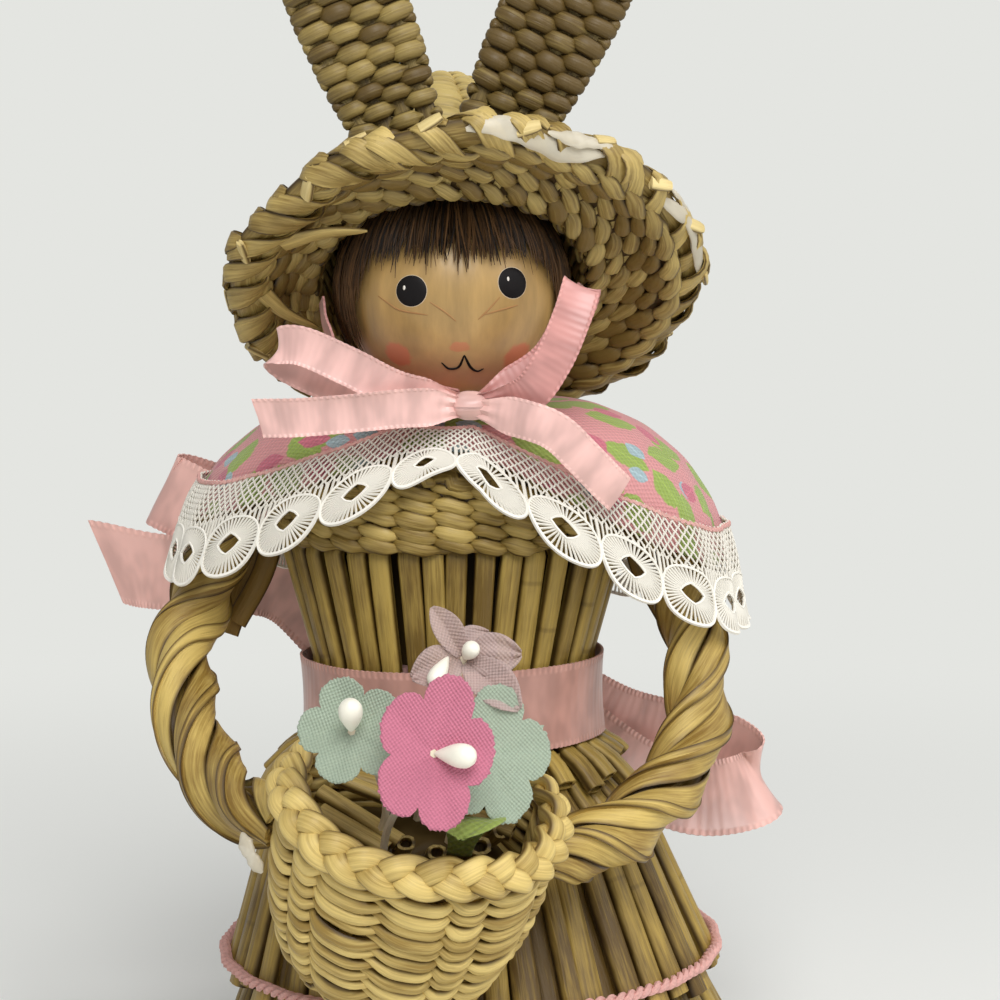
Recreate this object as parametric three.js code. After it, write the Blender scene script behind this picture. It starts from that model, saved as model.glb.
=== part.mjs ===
// Straw doll: a wooden ball head in a rabbit-eared straw bonnet, a bodice and skirt of tied straw,
// a cotton shawl with lace, satin bows, and braided arms that carry a basket of cloth flowers.
// Millimetres, +Z up. The doll looks along -Y, and left and right are the viewer's.
import * as THREE from "three";

// Stock and fits
const FIT = 0.3; // air between two pieces that touch
const STRAW = 2.4; // one layer of straw
const STRAW_BULGE = 0.55; // depth of the seam between two straws of the bodice and the core
const SKIRT_SEAM = 1.3; // depth of the seam between two straws of the skirt
const WEAVE = 1.6; // woven straw in the hat, yoke and basket
const WEAVE_BULGE = 0.4; // how far a woven float stands proud
const CLOTH = 0.8; // shawl cotton with its hem
const LACE = 0.5;
const RIBBON = 0.4;
const NARROW_RIBBON = 4.3;
const WIDE_RIBBON = 9.5;
const KNOT_HALF = [2.5, 1.6, 1.9]; // half sizes of the neck bow's knot
const SASH_KNOT_HALF = [3.2, 1.8, 4];

// Skirt: an under layer that stands on the floor and a shorter over layer bound by a cord
const SKIRT_STRAWS = 46;
const SKIRT_BASE_RADIUS = 36;
const SKIRT_HEM_Z = 19.5;
const SKIRT_HEM_HALF_WIDTH = 29.8;
const SKIRT_HIP_Z = 40.6;
const SKIRT_HIP_HALF_WIDTH = 22;
const SKIRT_TOP_Z = 45.5;
const SKIRT_TOP_HALF_WIDTH = 17.4;
const WAIST_FLATNESS = 4.4; // half-width less half-depth at the waist
const SKIRT_LEAN = 4.3; // sideways drift of the skirt from waist to floor
const CORD_RADIUS = 0.85;
const CORD_RISE = 3; // cord above the cut ends of the over layer

// Body
const BODICE_STRAWS = 32;
const PEPLUM_DROP = 2.5; // cut ends of the bodice below the top of the skirt
const SASH_RISE = 2.3; // sash above the top of the skirt
const WAIST_HALF_WIDTH = 16.9;
const WAIST_HALF_DEPTH = 12.6;
const BODICE_SHOWN = 13.7; // bodice between sash and yoke
const YOKE_BAND = 8;
const YOKE_STAKES = 18;
const YOKE_HALF_WIDTH = 20.8;
const YOKE_HALF_DEPTH = 13.8;
const SHOULDER_RISE = 6.5;
const CORE_DROP = 6; // straw core below the top of the skirt
const CORE_RISE = 1.2; // straw core above the yoke band
const PEG_RADIUS = 3;
const PEG_DEPTH = 18; // neck peg into the straw core

// Head and bonnet
const HEAD_RADIUS = 12.5;
const HEAD_BORE = 8.5; // drilled from the underside of the ball
const NECK_SHOWN = 1;
const HAIR = 1.1;
const HAIR_GLUE = 0.4; // glue between the ball and the hair
const HAT_TILT = 42.9; // degrees that the bonnet leans back
const HAT_ROLL = 3.7; // degrees that it drops to the viewer's left
const CROWN_HEIGHT = 23; // top of the crown over the middle of the head, along the bonnet's axis
const CROWN_DRIFT = 8.6; // top of the crown forward of that axis
const BRIM_WIDTH = 4.8; // from crown to rim
const BRIM_RISE = 1.7; // brim above the middle of the head
const BRIM_SHIFT = 1.5; // brim forward of the crown
const BRIM_SIDE = 1.7; // brim to the viewer's right of the crown
const BRIM_CAMBER = 0.4; // rise of the middle of the brim
const BRIM_DROOP = 0.2; // fall of its edge
const RIM_HALF_WIDTH = 2.9;
const RIM_HALF_HEIGHT = 1.5;
const RIM_DROP = 0.6; // middle of the rim below the middle of the brim's edge
const EAR_LENGTH = 36;
const EAR_WIDTH = 13.4;
const EAR_THICKNESS = 2.5;
const EAR_ROWS = 10;
const EAR_SPREAD = [-16.4, 18.2]; // degrees round the brim
const EAR_LEAN = [-21.6, 26.3]; // degrees from upright

// Shawl
const SHAWL_FOLD = 0.7;
const SHAWL_FOLDS = 9;
const SHAWL_LENGTH = 31; // cloth from the collar down to share 1 of its outline
const HEM_FRONT = 0.4; // share of the shawl's outline at which the cloth ends in front
const HEM_BACK = 0.9;
// The hem falls from so many degrees round from the front, over so many more, by a share of the outline
const HEM_LEFT = { from: 23, over: 45, drop: 0.36 };
const HEM_RIGHT = { from: 9, over: 70, drop: 0.55 };
const LACE_WIDTH = 11;
const LACE_LAP = 1.8; // lace sewn over the cloth
const SCALLOPS = 24;
const SCALLOP_DEPTH = 3;

// Arms
const ARM_RADIUS = 3.7;
const ARM_TOP_RADIUS = 3.1;
const ARM_TURNS = 4; // crossings of one strand along an arm
const HAND_OFFSET = [1.5, 0.1]; // middle of an arm's cut end off the basket wall
const HAND_ANGLE = [-99, 106]; // degrees round the basket from its front
const HAND_DROP = [5.5, 6]; // below the top of the basket wall

// Basket of flowers
const BASKET_HALF_WIDTH = 14.4;
const BASKET_HALF_DEPTH = 12.6;
const BASKET_HEIGHT = 19.5;
const BASKET_TILT = 24; // degrees towards the viewer
const BASKET_ROLL = 11; // degrees down to the viewer's right
const BASKET_STAKES = 13;
const BASKET_ROWS = 9;
const BASKET_RIM = 1.5;
const BASKET_X = -2.9;
const BASKET_RIM_Z = 47.4;
const FILLING_DEPTH = 4.5; // straw filling below the rim
const FILLING_MOUND = 1.9; // rise of the filling in the middle
const FLOWER_RADIUS = 7;
const PETAL = 0.5;
const STEM_RADIUS = 0.45;
const STAMEN_RADIUS = 1.4;
const STAMEN_LENGTH = 5;

// Heights that follow from the sizes above
const sashLow = SKIRT_TOP_Z + SASH_RISE;
const sashHigh = sashLow + WIDE_RIBBON;
const yokeLow = sashHigh + BODICE_SHOWN;
const yokeHigh = yokeLow + YOKE_BAND;
const neckZ = yokeHigh + SHOULDER_RISE;
const headZ = neckZ + NECK_SHOWN + HEAD_RADIUS;

const TAU = Math.PI * 2;
const rad = THREE.MathUtils.degToRad;
const lerp = THREE.MathUtils.lerp;
const smoothstep = THREE.MathUtils.smoothstep;
const vec = (x, y, z) => new THREE.Vector3(x, y, z);

// Shared colours of the real materials
const finish = (color, roughness) => new THREE.MeshStandardMaterial({ color, roughness, metalness: 0 });
const FINISHES = {
  straw: () => finish(0xb39a5c, 0.55),
  strawDark: () => finish(0x94804a, 0.6),
  wood: () => finish(0xd3ab79, 0.5),
  hair: () => finish(0x4a3526, 0.7),
  satin: () => finish(0xe3aab0, 0.35),
  cotton: () => finish(0xdc98a4, 0.85),
  lace: () => finish(0xf2f2ee, 0.8),
  pinkCloth: () => finish(0xd877ac, 0.8),
  mintCloth: () => finish(0xa9cdc6, 0.8),
  lilacCloth: () => finish(0xd3b3c3, 0.8),
  leafCloth: () => finish(0x8fae5a, 0.8),
  stamen: () => finish(0xf4efe2, 0.45),
  wire: () => finish(0xe6e0cf, 0.5),
  cord: () => finish(0xdb9fa6, 0.8),
};

const doll = new THREE.Group();

// Adds one named piece to the doll, or to a group inside it.
function add(name, geometry, material, parent = doll) {
  const mesh = new THREE.Mesh(geometry, material);
  mesh.name = name;
  parent.add(mesh);
}

// A closed body from points and triangles, turned so that its faces look outwards.
function solid(points, faces) {
  let volume = 0;
  for (let i = 0; i < faces.length; i += 3) {
    const normal = points[faces[i + 1]].clone().cross(points[faces[i + 2]]);
    volume += points[faces[i]].dot(normal);
  }
  if (volume < 0) faces.reverse();
  const geometry = new THREE.BufferGeometry();
  const coordinates = points.flatMap((point) => point.toArray());
  geometry.setAttribute("position", new THREE.Float32BufferAttribute(coordinates, 3));
  geometry.setIndex(faces);
  geometry.computeVertexNormals();
  return geometry;
}

// Skins rings of equal count. An open loft is capped at both ends, a joined one closes on itself.
function loft(rings, joined = false) {
  const points = rings.flat();
  const count = rings[0].length;
  const spans = joined ? rings.length : rings.length - 1;
  const faces = [];
  for (let r = 0; r < spans; r++) {
    const low = r * count;
    const high = ((r + 1) % rings.length) * count;
    for (let i = 0; i < count; i++) {
      const j = (i + 1) % count;
      faces.push(low + i, low + j, high + i, low + j, high + j, high + i);
    }
  }
  if (joined) return solid(points, faces);
  for (const [ring, turned] of [[0, true], [rings.length - 1, false]]) {
    const middle = rings[ring].reduce((sum, point) => sum.add(point), vec(0, 0, 0));
    points.push(middle.divideScalar(count));
    for (let i = 0; i < count; i++) {
      const a = ring * count + i;
      const b = ring * count + ((i + 1) % count);
      faces.push(points.length - 1, turned ? b : a, turned ? a : b);
    }
  }
  return solid(points, faces);
}

// A ring of points, with the angle counted from the front towards the viewer's right.
function ring(count, place) {
  return Array.from({ length: count }, (_, i) => place((i * TAU) / count, i));
}

// A level oval. Every second point is drawn in by the seam, so the points between become straws.
function oval(count, halfWidth, halfDepth, z, seam = 0, x = 0) {
  return ring(count, (angle, i) => {
    const inset = i % 2 ? seam : 0;
    return vec(x + (halfWidth - inset) * Math.sin(angle), -(halfDepth - inset) * Math.cos(angle), z);
  });
}

// Straight-line table: rows of [position, value] in rising order.
function table(rows) {
  return (at) => {
    let k = 1;
    while (k < rows.length - 1 && at > rows[k][0]) k++;
    const [from, low] = rows[k - 1];
    const [to, high] = rows[k];
    return lerp(low, high, (at - from) / (to - from));
  };
}

// A ribbon along hand-set points. Its width follows the given directions, square to the path.
function ribbon(points, widths, width, { steps = 12, slant = 0 } = {}) {
  const path = new THREE.CatmullRomCurve3(points);
  const across = new THREE.CatmullRomCurve3(widths);
  const rings = [];
  for (let k = 0; k <= steps; k++) {
    const s = k / steps;
    const centre = path.getPoint(s);
    const along = path.getTangent(s);
    const side = across.getPoint(s);
    side.addScaledVector(along, -side.dot(along)).normalize();
    const face = along.clone().cross(side);
    const reach = k === steps ? slant : 0;
    const corner = (a, b) => centre.clone()
      .addScaledVector(side, (a * width) / 2)
      .addScaledVector(along, (a * reach) / 2)
      .addScaledVector(face, (b * RIBBON) / 2);
    rings.push([corner(-1, -1), corner(1, -1), corner(1, 1), corner(-1, 1)]);
  }
  return loft(rings);
}

// Skins a closed outline, given in the plane square to a path, along that path.
function sweep(path, steps, sides, outline, joined = false) {
  const frames = path.computeFrenetFrames(steps, joined);
  const rings = [];
  for (let k = 0; k <= (joined ? steps - 1 : steps); k++) {
    const centre = path.getPointAt(k / steps);
    rings.push(ring(sides, (angle) => {
      const [a, b] = outline(angle, k / steps);
      return centre.clone().addScaledVector(frames.normals[k], a).addScaledVector(frames.binormals[k], b);
    }));
  }
  return loft(rings, joined);
}

// Section of a three-strand plait at share s: the outer edge of three round strands, each weaving
// from side to side once while it goes over and under twice.
function plait(angle, s, turns, halfWidth, halfHeight) {
  const strand = 0.56;
  let reach = 0;
  for (let k = 0; k < 3; k++) {
    const phase = TAU * (s * turns + k / 3);
    const middle = [(1 - strand) * Math.sin(phase), (1 - strand) * 0.8 * Math.sin(2 * phase)];
    const forward = middle[0] * Math.cos(angle) + middle[1] * Math.sin(angle);
    const inside = strand ** 2 - middle[0] ** 2 - middle[1] ** 2 + forward ** 2;
    if (inside > 0) reach = Math.max(reach, forward + Math.sqrt(inside));
  }
  return [reach * halfWidth * Math.cos(angle), reach * halfHeight * Math.sin(angle)];
}

// Skirt outlines
const overHalfWidth = table([
  [SKIRT_HEM_Z, SKIRT_HEM_HALF_WIDTH],
  [SKIRT_HIP_Z, SKIRT_HIP_HALF_WIDTH],
  [SKIRT_TOP_Z, SKIRT_TOP_HALF_WIDTH],
]);
const flatness = (z) => (WAIST_FLATNESS * z) / SKIRT_TOP_Z;
const lean = (z) => SKIRT_LEAN * (1 - z / SKIRT_TOP_Z);
const underInset = STRAW + FIT;

// A level ring of the skirt. Each straw has a broad back of two points and a seam beside it.
function strawRing(z, half, seam) {
  return ring(SKIRT_STRAWS * 3, (turn, i) => {
    const angle = turn - TAU / (SKIRT_STRAWS * 6);
    const reach = half - (i % 3 === 2 ? seam : 0);
    return vec(lean(z) + reach * Math.sin(angle), -(reach - flatness(z)) * Math.cos(angle), z);
  });
}

// One layer of straws: a ring of rounded straws outside, and their smooth backs inside.
function skirtLayer(rows) {
  const outer = rows.map(([z, half]) => strawRing(z, half, SKIRT_SEAM));
  const inner = rows.map(([z, half]) => strawRing(z, half - STRAW, 0));
  return loft([...outer, ...inner.reverse()], true);
}

function addSkirt() {
  const heights = [SKIRT_HEM_Z, SKIRT_HIP_Z, SKIRT_TOP_Z];
  const over = heights.map((z) => [z, overHalfWidth(z)]);
  const under = over.map(([z, half]) => [z, half - underInset]);
  add("skirt_over_layer", skirtLayer(over), FINISHES.straw());
  add("skirt_under_layer", skirtLayer([[0, SKIRT_BASE_RADIUS], ...under]), FINISHES.straw());
  const cordZ = SKIRT_HEM_Z + CORD_RISE;
  const half = overHalfWidth(cordZ) + FIT + CORD_RADIUS;
  const round = [];
  for (const angle of ring(40, (turn) => turn)) {
    round.push(vec(lean(cordZ) + half * Math.sin(angle), -(half - flatness(cordZ)) * Math.cos(angle), cordZ));
  }
  const path = new THREE.CatmullRomCurve3(round, true);
  const circle = (angle) => [CORD_RADIUS * Math.cos(angle), CORD_RADIUS * Math.sin(angle)];
  add("skirt_cord", sweep(path, 40, 6, circle, true), FINISHES.cord());
}

// Straw core, its waist binding and the peg that carries the head
const coreHalfWidth = SKIRT_TOP_HALF_WIDTH - underInset - STRAW - FIT;
const coreHalfDepth = coreHalfWidth - WAIST_FLATNESS;
const coreTop = yokeHigh + CORE_RISE;
const boreRadius = PEG_RADIUS + FIT;

function addCore() {
  const count = 28;
  const low = SKIRT_TOP_Z - CORE_DROP;
  const bottom = coreTop - PEG_DEPTH;
  add("torso_core", loft([
    oval(count, coreHalfWidth, coreHalfDepth, low, STRAW_BULGE),
    oval(count, coreHalfWidth, coreHalfDepth, coreTop, STRAW_BULGE),
    oval(count, boreRadius, boreRadius, coreTop),
    oval(count, boreRadius, boreRadius, bottom),
  ]), FINISHES.strawDark());
  const sides = 32;
  const inner = [coreHalfWidth + FIT, coreHalfDepth + FIT];
  const outer = [WAIST_HALF_WIDTH - STRAW - FIT, WAIST_HALF_DEPTH - STRAW - FIT];
  const bindingLow = SKIRT_TOP_Z + FIT;
  add("waist_binding", loft([
    oval(sides, ...inner, bindingLow),
    oval(sides, ...outer, bindingLow),
    oval(sides, ...outer, sashHigh - FIT),
    oval(sides, ...inner, sashHigh - FIT),
  ], true), FINISHES.cord());
  const pegLow = bottom + FIT;
  const pegTop = headZ - HEAD_RADIUS + HEAD_BORE - FIT;
  const peg = new THREE.CylinderGeometry(PEG_RADIUS, PEG_RADIUS, pegTop - pegLow, 16);
  peg.rotateX(Math.PI / 2);
  peg.translate(0, 0, (pegTop + pegLow) / 2);
  add("neck_peg", peg, FINISHES.wood());
}

// Bodice of upright straws, spread at its cut ends and tucked into the woven yoke
const yokeWall = YOKE_HALF_WIDTH - WEAVE;
const yokeWallDepth = YOKE_HALF_DEPTH - WEAVE;

function addBodice() {
  const peplumZ = SKIRT_TOP_Z - PEPLUM_DROP;
  const peplum = overHalfWidth(peplumZ) + 2 * FIT + STRAW;
  const hip = SKIRT_TOP_HALF_WIDTH + 2 * FIT + STRAW;
  const hipZ = SKIRT_TOP_Z + FIT;
  const bustZ = sashHigh + 0.45 * BODICE_SHOWN;
  const rows = [
    [peplumZ, peplum, peplum - flatness(peplumZ)],
    [hipZ, hip, hip - WAIST_FLATNESS],
    [sashLow, WAIST_HALF_WIDTH, WAIST_HALF_DEPTH],
    [sashHigh, WAIST_HALF_WIDTH, WAIST_HALF_DEPTH],
    [bustZ, lerp(WAIST_HALF_WIDTH, YOKE_HALF_WIDTH, 0.65), lerp(WAIST_HALF_DEPTH, YOKE_HALF_DEPTH, 0.65)],
    [yokeLow - 2 * FIT, YOKE_HALF_WIDTH - FIT, YOKE_HALF_DEPTH - FIT],
    [yokeLow - FIT, yokeWall - FIT, yokeWallDepth - FIT],
    [yokeHigh - WEAVE - FIT, yokeWall - FIT, yokeWallDepth - FIT],
  ];
  const count = BODICE_STRAWS * 2;
  const outer = rows.map(([z, width, depth]) => oval(count, width, depth, z, STRAW_BULGE));
  const inner = [0, 1, 2, 3, 7].map((k) => {
    const [z, width, depth] = rows[k];
    return oval(count, width - STRAW, depth - STRAW, z);
  });
  add("bodice_straws", loft([...outer, ...inner.reverse()], true), FINISHES.straw());
}

function addYoke() {
  const count = YOKE_STAKES * 2;
  const row = YOKE_BAND / 2;
  const slopeZ = yokeHigh + 0.62 * SHOULDER_RISE;
  const slope = [0.72 * YOKE_HALF_WIDTH, 0.75 * YOKE_HALF_DEPTH];
  const collar = PEG_RADIUS + FIT + WEAVE;
  const woven = (z, k) => ring(count, (angle, i) => {
    const float = i % 2 ? 0 : WEAVE_BULGE * ((i / 2 + k) % 2 ? 1 : -1);
    return vec((YOKE_HALF_WIDTH + float) * Math.sin(angle), -(YOKE_HALF_DEPTH + float) * Math.cos(angle), z);
  });
  const rings = [
    oval(count, YOKE_HALF_WIDTH, YOKE_HALF_DEPTH, yokeLow),
    woven(yokeLow + row / 2, 0),
    woven(yokeLow + 1.5 * row, 1),
    oval(count, YOKE_HALF_WIDTH, YOKE_HALF_DEPTH, yokeHigh),
    oval(count, ...slope, slopeZ),
    oval(count, collar, collar, neckZ),
    oval(count, boreRadius, boreRadius, neckZ),
    oval(count, boreRadius, boreRadius, neckZ - WEAVE),
    oval(count, slope[0] - 0.6 * WEAVE, slope[1] - 0.6 * WEAVE, slopeZ - WEAVE),
    oval(count, yokeWall, yokeWallDepth, yokeHigh - WEAVE),
    oval(count, yokeWall, yokeWallDepth, yokeLow),
  ];
  add("yoke_weave", loft(rings, true), FINISHES.straw());
}

// Head: a turned wooden ball, drilled for the neck peg
const head = vec(0, 0, headZ);

function addHead() {
  const count = 24;
  const open = Math.asin(boreRadius / HEAD_RADIUS);
  const rings = [
    oval(count, boreRadius, boreRadius, headZ - HEAD_RADIUS + HEAD_BORE),
  ];
  for (let k = 0; k <= 11; k++) {
    const polar = lerp(open, Math.PI * 0.96, k / 11);
    const radius = HEAD_RADIUS * Math.sin(polar);
    rings.push(oval(count, radius, radius, headZ - HEAD_RADIUS * Math.cos(polar)));
  }
  add("head", loft(rings), FINISHES.wood());
}

// Hair: a cap of fibre glued to the ball, cut to a fringe and longer beside the face
const hairInner = HEAD_RADIUS + HAIR_GLUE + FIT;
const hairOuter = hairInner + HAIR;

function addHair() {
  const count = 28;
  const edge = (angle) => {
    const turn = Math.abs(((angle + Math.PI) % TAU) - Math.PI);
    return rad(70 + 40 * smoothstep(turn, rad(38), rad(62)) + 14 * smoothstep(turn, rad(90), Math.PI));
  };
  const at = (radius, share) => ring(count, (angle, i) => {
    const polar = edge(angle) * share;
    const lock = share > 0.3 && i % 2 ? 0.2 * HAIR : 0;
    const reach = radius - (radius > hairInner ? lock : 0);
    const flat = reach * Math.sin(polar);
    return vec(flat * Math.sin(angle), -flat * Math.cos(angle), headZ + reach * Math.cos(polar));
  });
  const shares = [0.06, 0.2, 0.36, 0.52, 0.68, 0.84, 1];
  const outer = shares.map((share) => at(hairOuter, share));
  const inner = shares.map((share) => at(hairInner, share)).reverse();
  add("hair", loft([...outer, ...inner]), FINISHES.hair());
}

// Bonnet frame: across to the viewer's right, front up the brim, axis up through the crown
const hatTurn = new THREE.Matrix4().makeRotationY(-rad(HAT_ROLL))
  .multiply(new THREE.Matrix4().makeRotationX(-rad(HAT_TILT)));
const hatAcross = vec(1, 0, 0).applyMatrix4(hatTurn);
const hatFront = vec(0, -1, 0).applyMatrix4(hatTurn);
const hatAxis = vec(0, 0, 1).applyMatrix4(hatTurn);
const crownInner = hairOuter + 2 * FIT;
const crownOuter = crownInner + WEAVE;
const brimStart = crownOuter * Math.sqrt(1 - (BRIM_RISE / CROWN_HEIGHT) ** 2);
const brimEnd = brimStart + BRIM_WIDTH;
const rimMiddle = brimEnd + FIT + RIM_HALF_WIDTH;

// A point of the bonnet. The share says how much of the brim's drift it has, from crown to rim.
function hatPoint(angle, radius, rise, share) {
  return head.clone()
    .addScaledVector(hatAcross, radius * Math.sin(angle) + share * BRIM_SIDE)
    .addScaledVector(hatFront, radius * Math.cos(angle) + share * BRIM_SHIFT)
    .addScaledVector(hatAxis, rise);
}

function addHat() {
  const count = 32;
  const at = (radius, rise, share) => ring(count, (angle) => hatPoint(angle, radius, rise, share));
  const dome = (radius, height, low) => [0.08, 0.3, 0.5, 0.68, 0.85, 1].map((share) => {
    const polar = share * Math.acos(low / height);
    const rise = height * Math.cos(polar);
    const drift = CROWN_DRIFT * (rise / height) ** 2;
    return at(radius * Math.sin(polar), rise, 0).map((point) => point.addScaledVector(hatFront, drift));
  });
  const half = brimStart + BRIM_WIDTH / 2;
  const outer = [
    ...dome(crownOuter, CROWN_HEIGHT, BRIM_RISE),
    at(half, BRIM_RISE + BRIM_CAMBER, 0.5),
    at(brimEnd, BRIM_RISE - BRIM_DROOP, 1),
  ];
  const inner = [
    ...dome(crownInner, CROWN_HEIGHT - WEAVE, BRIM_RISE - WEAVE),
    at(half, BRIM_RISE + BRIM_CAMBER - WEAVE, 0.5),
    at(brimEnd, BRIM_RISE - BRIM_DROOP - WEAVE, 1),
  ];
  add("hat", loft([...outer, ...inner.reverse()]), FINISHES.straw());
  const steps = 44;
  const rimRise = BRIM_RISE - BRIM_DROOP - WEAVE / 2 - RIM_DROP;
  const turns = 11;
  const rings = [];
  for (let k = 0; k < steps; k++) {
    const angle = (k * TAU) / steps;
    rings.push(ring(7, (around) => {
      const [a, b] = plait(around, k / steps, turns, RIM_HALF_WIDTH, RIM_HALF_HEIGHT);
      return hatPoint(angle, rimMiddle + a, rimRise + b, 1);
    }));
  }
  add("hat_rim", loft(rings, true), FINISHES.straw());
}

// Ears: woven blades glued to the brim, with a foot cut parallel to it
function addEar(name, spread, leanAngle) {
  const floor = BRIM_RISE + BRIM_CAMBER + FIT;
  const base = hatPoint(rad(spread), brimStart + 0.5 * BRIM_WIDTH, floor + 1.2, 0.5);
  const up = vec(Math.sin(rad(leanAngle)), 0.06, Math.cos(rad(leanAngle))).normalize();
  const side = vec(Math.cos(rad(leanAngle)), 0, -Math.sin(rad(leanAngle)));
  const face = up.clone().cross(side).normalize();
  const width = table([[0, 0.66], [0.1, 0.77], [0.3, 0.93], [0.5, 1], [0.7, 0.98], [0.9, 0.74], [1, 0.3]]);
  const rings = [];
  const steps = EAR_ROWS * 2;
  for (let k = 0; k <= steps; k++) {
    const share = k / steps;
    const row = k % 2 ? 1 : 0.82;
    rings.push(ring(10, (angle) => {
      const a = 0.5 * EAR_WIDTH * width(share) * Math.sin(angle);
      const b = 0.5 * EAR_THICKNESS * row * Math.cos(angle);
      const point = base.clone().addScaledVector(side, a).addScaledVector(face, b);
      const above = point.clone().sub(head).dot(hatAxis) - floor;
      const reach = k === 0 ? -above / up.dot(hatAxis) : share * EAR_LENGTH;
      return point.addScaledVector(up, reach);
    }));
  }
  add(name, loft(rings), FINISHES.strawDark());
}

// Satin bow under the chin, with straps up to the brim
const knot = vec(2.2, -(HEAD_RADIUS + 2.2), neckZ + 2);

function addNeckBow() {
  const rings = [];
  for (let k = 0; k <= 6; k++) {
    const polar = lerp(0.12, 0.88, k / 6) * Math.PI;
    rings.push(ring(10, (angle) => vec(
      knot.x - KNOT_HALF[0] * Math.cos(polar),
      knot.y - KNOT_HALF[1] * Math.sin(polar) * Math.cos(angle),
      knot.z + KNOT_HALF[2] * Math.sin(polar) * Math.sin(angle),
    )));
  }
  add("neck_bow_knot", loft(rings), FINISHES.satin());
  const from = (x, y, z) => vec(x, y, z).add(knot);
  const upright = [vec(0.2, 0, 1), vec(0.35, 0, 1), vec(0.4, 0, 1), vec(0.35, 0, 1)];
  const slanted = [vec(0.6, 0, -0.8), vec(0.85, 0, -0.5), vec(0.95, 0, -0.3), vec(0.8, 0, -0.6)];
  const level = [vec(0, 0, 1), vec(0, -0.2, 1), vec(0, -0.1, 1)];
  const bend = [vec(0, 0, 1), vec(0.35, 0, 1), vec(0.75, 0, 0.65)];
  add("neck_bow_loop_left", ribbon([
    from(-2.9, -0.7, 0.5), from(-7.6, -2.2, 1.8), from(-13, -1.9, 4.4), from(-18.4, -0.6, 6.6),
    from(-21.2, 1, 6.2), from(-19.6, 2.4, 4.2), from(-13, 2.5, 1.6), from(-3, 0.8, 0),
  ], upright, NARROW_RIBBON, { steps: 18 }), FINISHES.satin());
  add("neck_bow_loop_right", ribbon([
    from(3, -0.7, 0.4), from(6, -1.9, 1.2), from(9, -2.2, 5), from(11.1, -1.3, 9.8),
    from(12.2, 0.3, 13.2), from(11.6, 1.6, 10.6), from(8.4, 1.6, 4.6), from(3, 0.8, 0.2),
  ], slanted, NARROW_RIBBON, { steps: 18 }), FINISHES.satin());
  add("neck_bow_tail_left", ribbon([
    from(-2.4, -1.5, -0.3), from(-6.6, -3.7, 0.1), from(-12.4, -4.1, -0.4),
    from(-18.2, -3.8, -0.9), from(-23, -2.8, -1.1),
  ], level, NARROW_RIBBON, { steps: 10, slant: 1 }), FINISHES.satin());
  add("neck_bow_tail_right", ribbon([
    from(2.4, -1.6, -0.4), from(6.2, -3.8, -1.2), from(9.4, -4, -2.5),
    from(12.1, -3.2, -5.1), from(14.8, -2, -8), from(16.4, -1.2, -9.6),
  ], bend, NARROW_RIBBON, { steps: 12, slant: -1 }), FINISHES.satin());
}

// Straps lie round the hair, from under the brim to the knot
function addChinStraps() {
  const strapRadius = hairOuter + FIT + RIBBON;
  const at = (azimuth, elevation, radius) => vec(
    radius * Math.cos(rad(elevation)) * Math.sin(rad(azimuth)),
    -radius * Math.cos(rad(elevation)) * Math.cos(rad(azimuth)),
    headZ + radius * Math.sin(rad(elevation)),
  );
  for (const [name, side] of [["chin_strap_left", -1], ["chin_strap_right", 1]]) {
    const top = at(side * 80, side > 0 ? 3.8 : -2.7, strapRadius);
    const end = vec(knot.x + side * KNOT_HALF[0] * 0.55, knot.y + KNOT_HALF[1] + FIT + RIBBON, knot.z + 1.4);
    const points = [top, at(side * 76, -16, strapRadius), at(side * 60, -38, strapRadius + 0.4), end];
    const widths = points.map((point) => {
      const out = point.clone().sub(head).normalize();
      const next = points[Math.min(points.indexOf(point) + 1, points.length - 1)];
      const previous = points[Math.max(points.indexOf(point) - 1, 0)];
      return next.clone().sub(previous).normalize().cross(out).normalize();
    });
    add(name, ribbon(points, widths, NARROW_RIBBON, { steps: 10 }), FINISHES.satin());
  }
}

// Shawl: a dome of cotton from the collar over the shoulders, short in front and longer behind
const shoulderReach = YOKE_HALF_WIDTH + 3 * FIT + 2 * ARM_TOP_RADIUS + WEAVE_BULGE + CLOTH;
// Outline rows: share, half-width, half-depth, height over the collar
const SHAWL_PROFILE = [
  [0, PEG_RADIUS + 4, PEG_RADIUS + 3.6, FIT + CLOTH],
  [0.2, 0.54 * shoulderReach, YOKE_HALF_DEPTH - 3, FIT + CLOTH],
  [0.4, 0.76 * shoulderReach, YOKE_HALF_DEPTH - 0.2, -1.6],
  [0.6, 0.92 * shoulderReach, YOKE_HALF_DEPTH + 1.9, -5.6],
  [0.8, shoulderReach + 0.8, YOKE_HALF_DEPTH + 3, -10.5],
  [1, shoulderReach + 2.6, YOKE_HALF_DEPTH + 3.9, -16.5],
  [1.45, shoulderReach + 4.6, YOKE_HALF_DEPTH + 5.1, -30],
];
const column = (k) => table(SHAWL_PROFILE.map((row) => [row[0], row[k]]));
const shawlWidth = column(1);
const shawlDepth = column(2);
const shawlHeight = column(3);

function shawlBase(angle, share) {
  const fold = SHAWL_FOLD * share * share * (0.5 - 0.5 * Math.cos(SHAWL_FOLDS * angle));
  return vec(
    (shawlWidth(share) + fold) * Math.sin(angle),
    -(shawlDepth(share) + fold) * Math.cos(angle),
    neckZ + shawlHeight(share),
  );
}

function shawlPoint(angle, share, out) {
  const step = 0.02;
  const round = shawlBase(angle + step, share).sub(shawlBase(angle - step, share));
  const down = shawlBase(angle, share + step).sub(shawlBase(angle, Math.max(share - step, 0)));
  const normal = down.cross(round).normalize();
  return shawlBase(angle, share).addScaledVector(normal, out);
}

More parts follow.
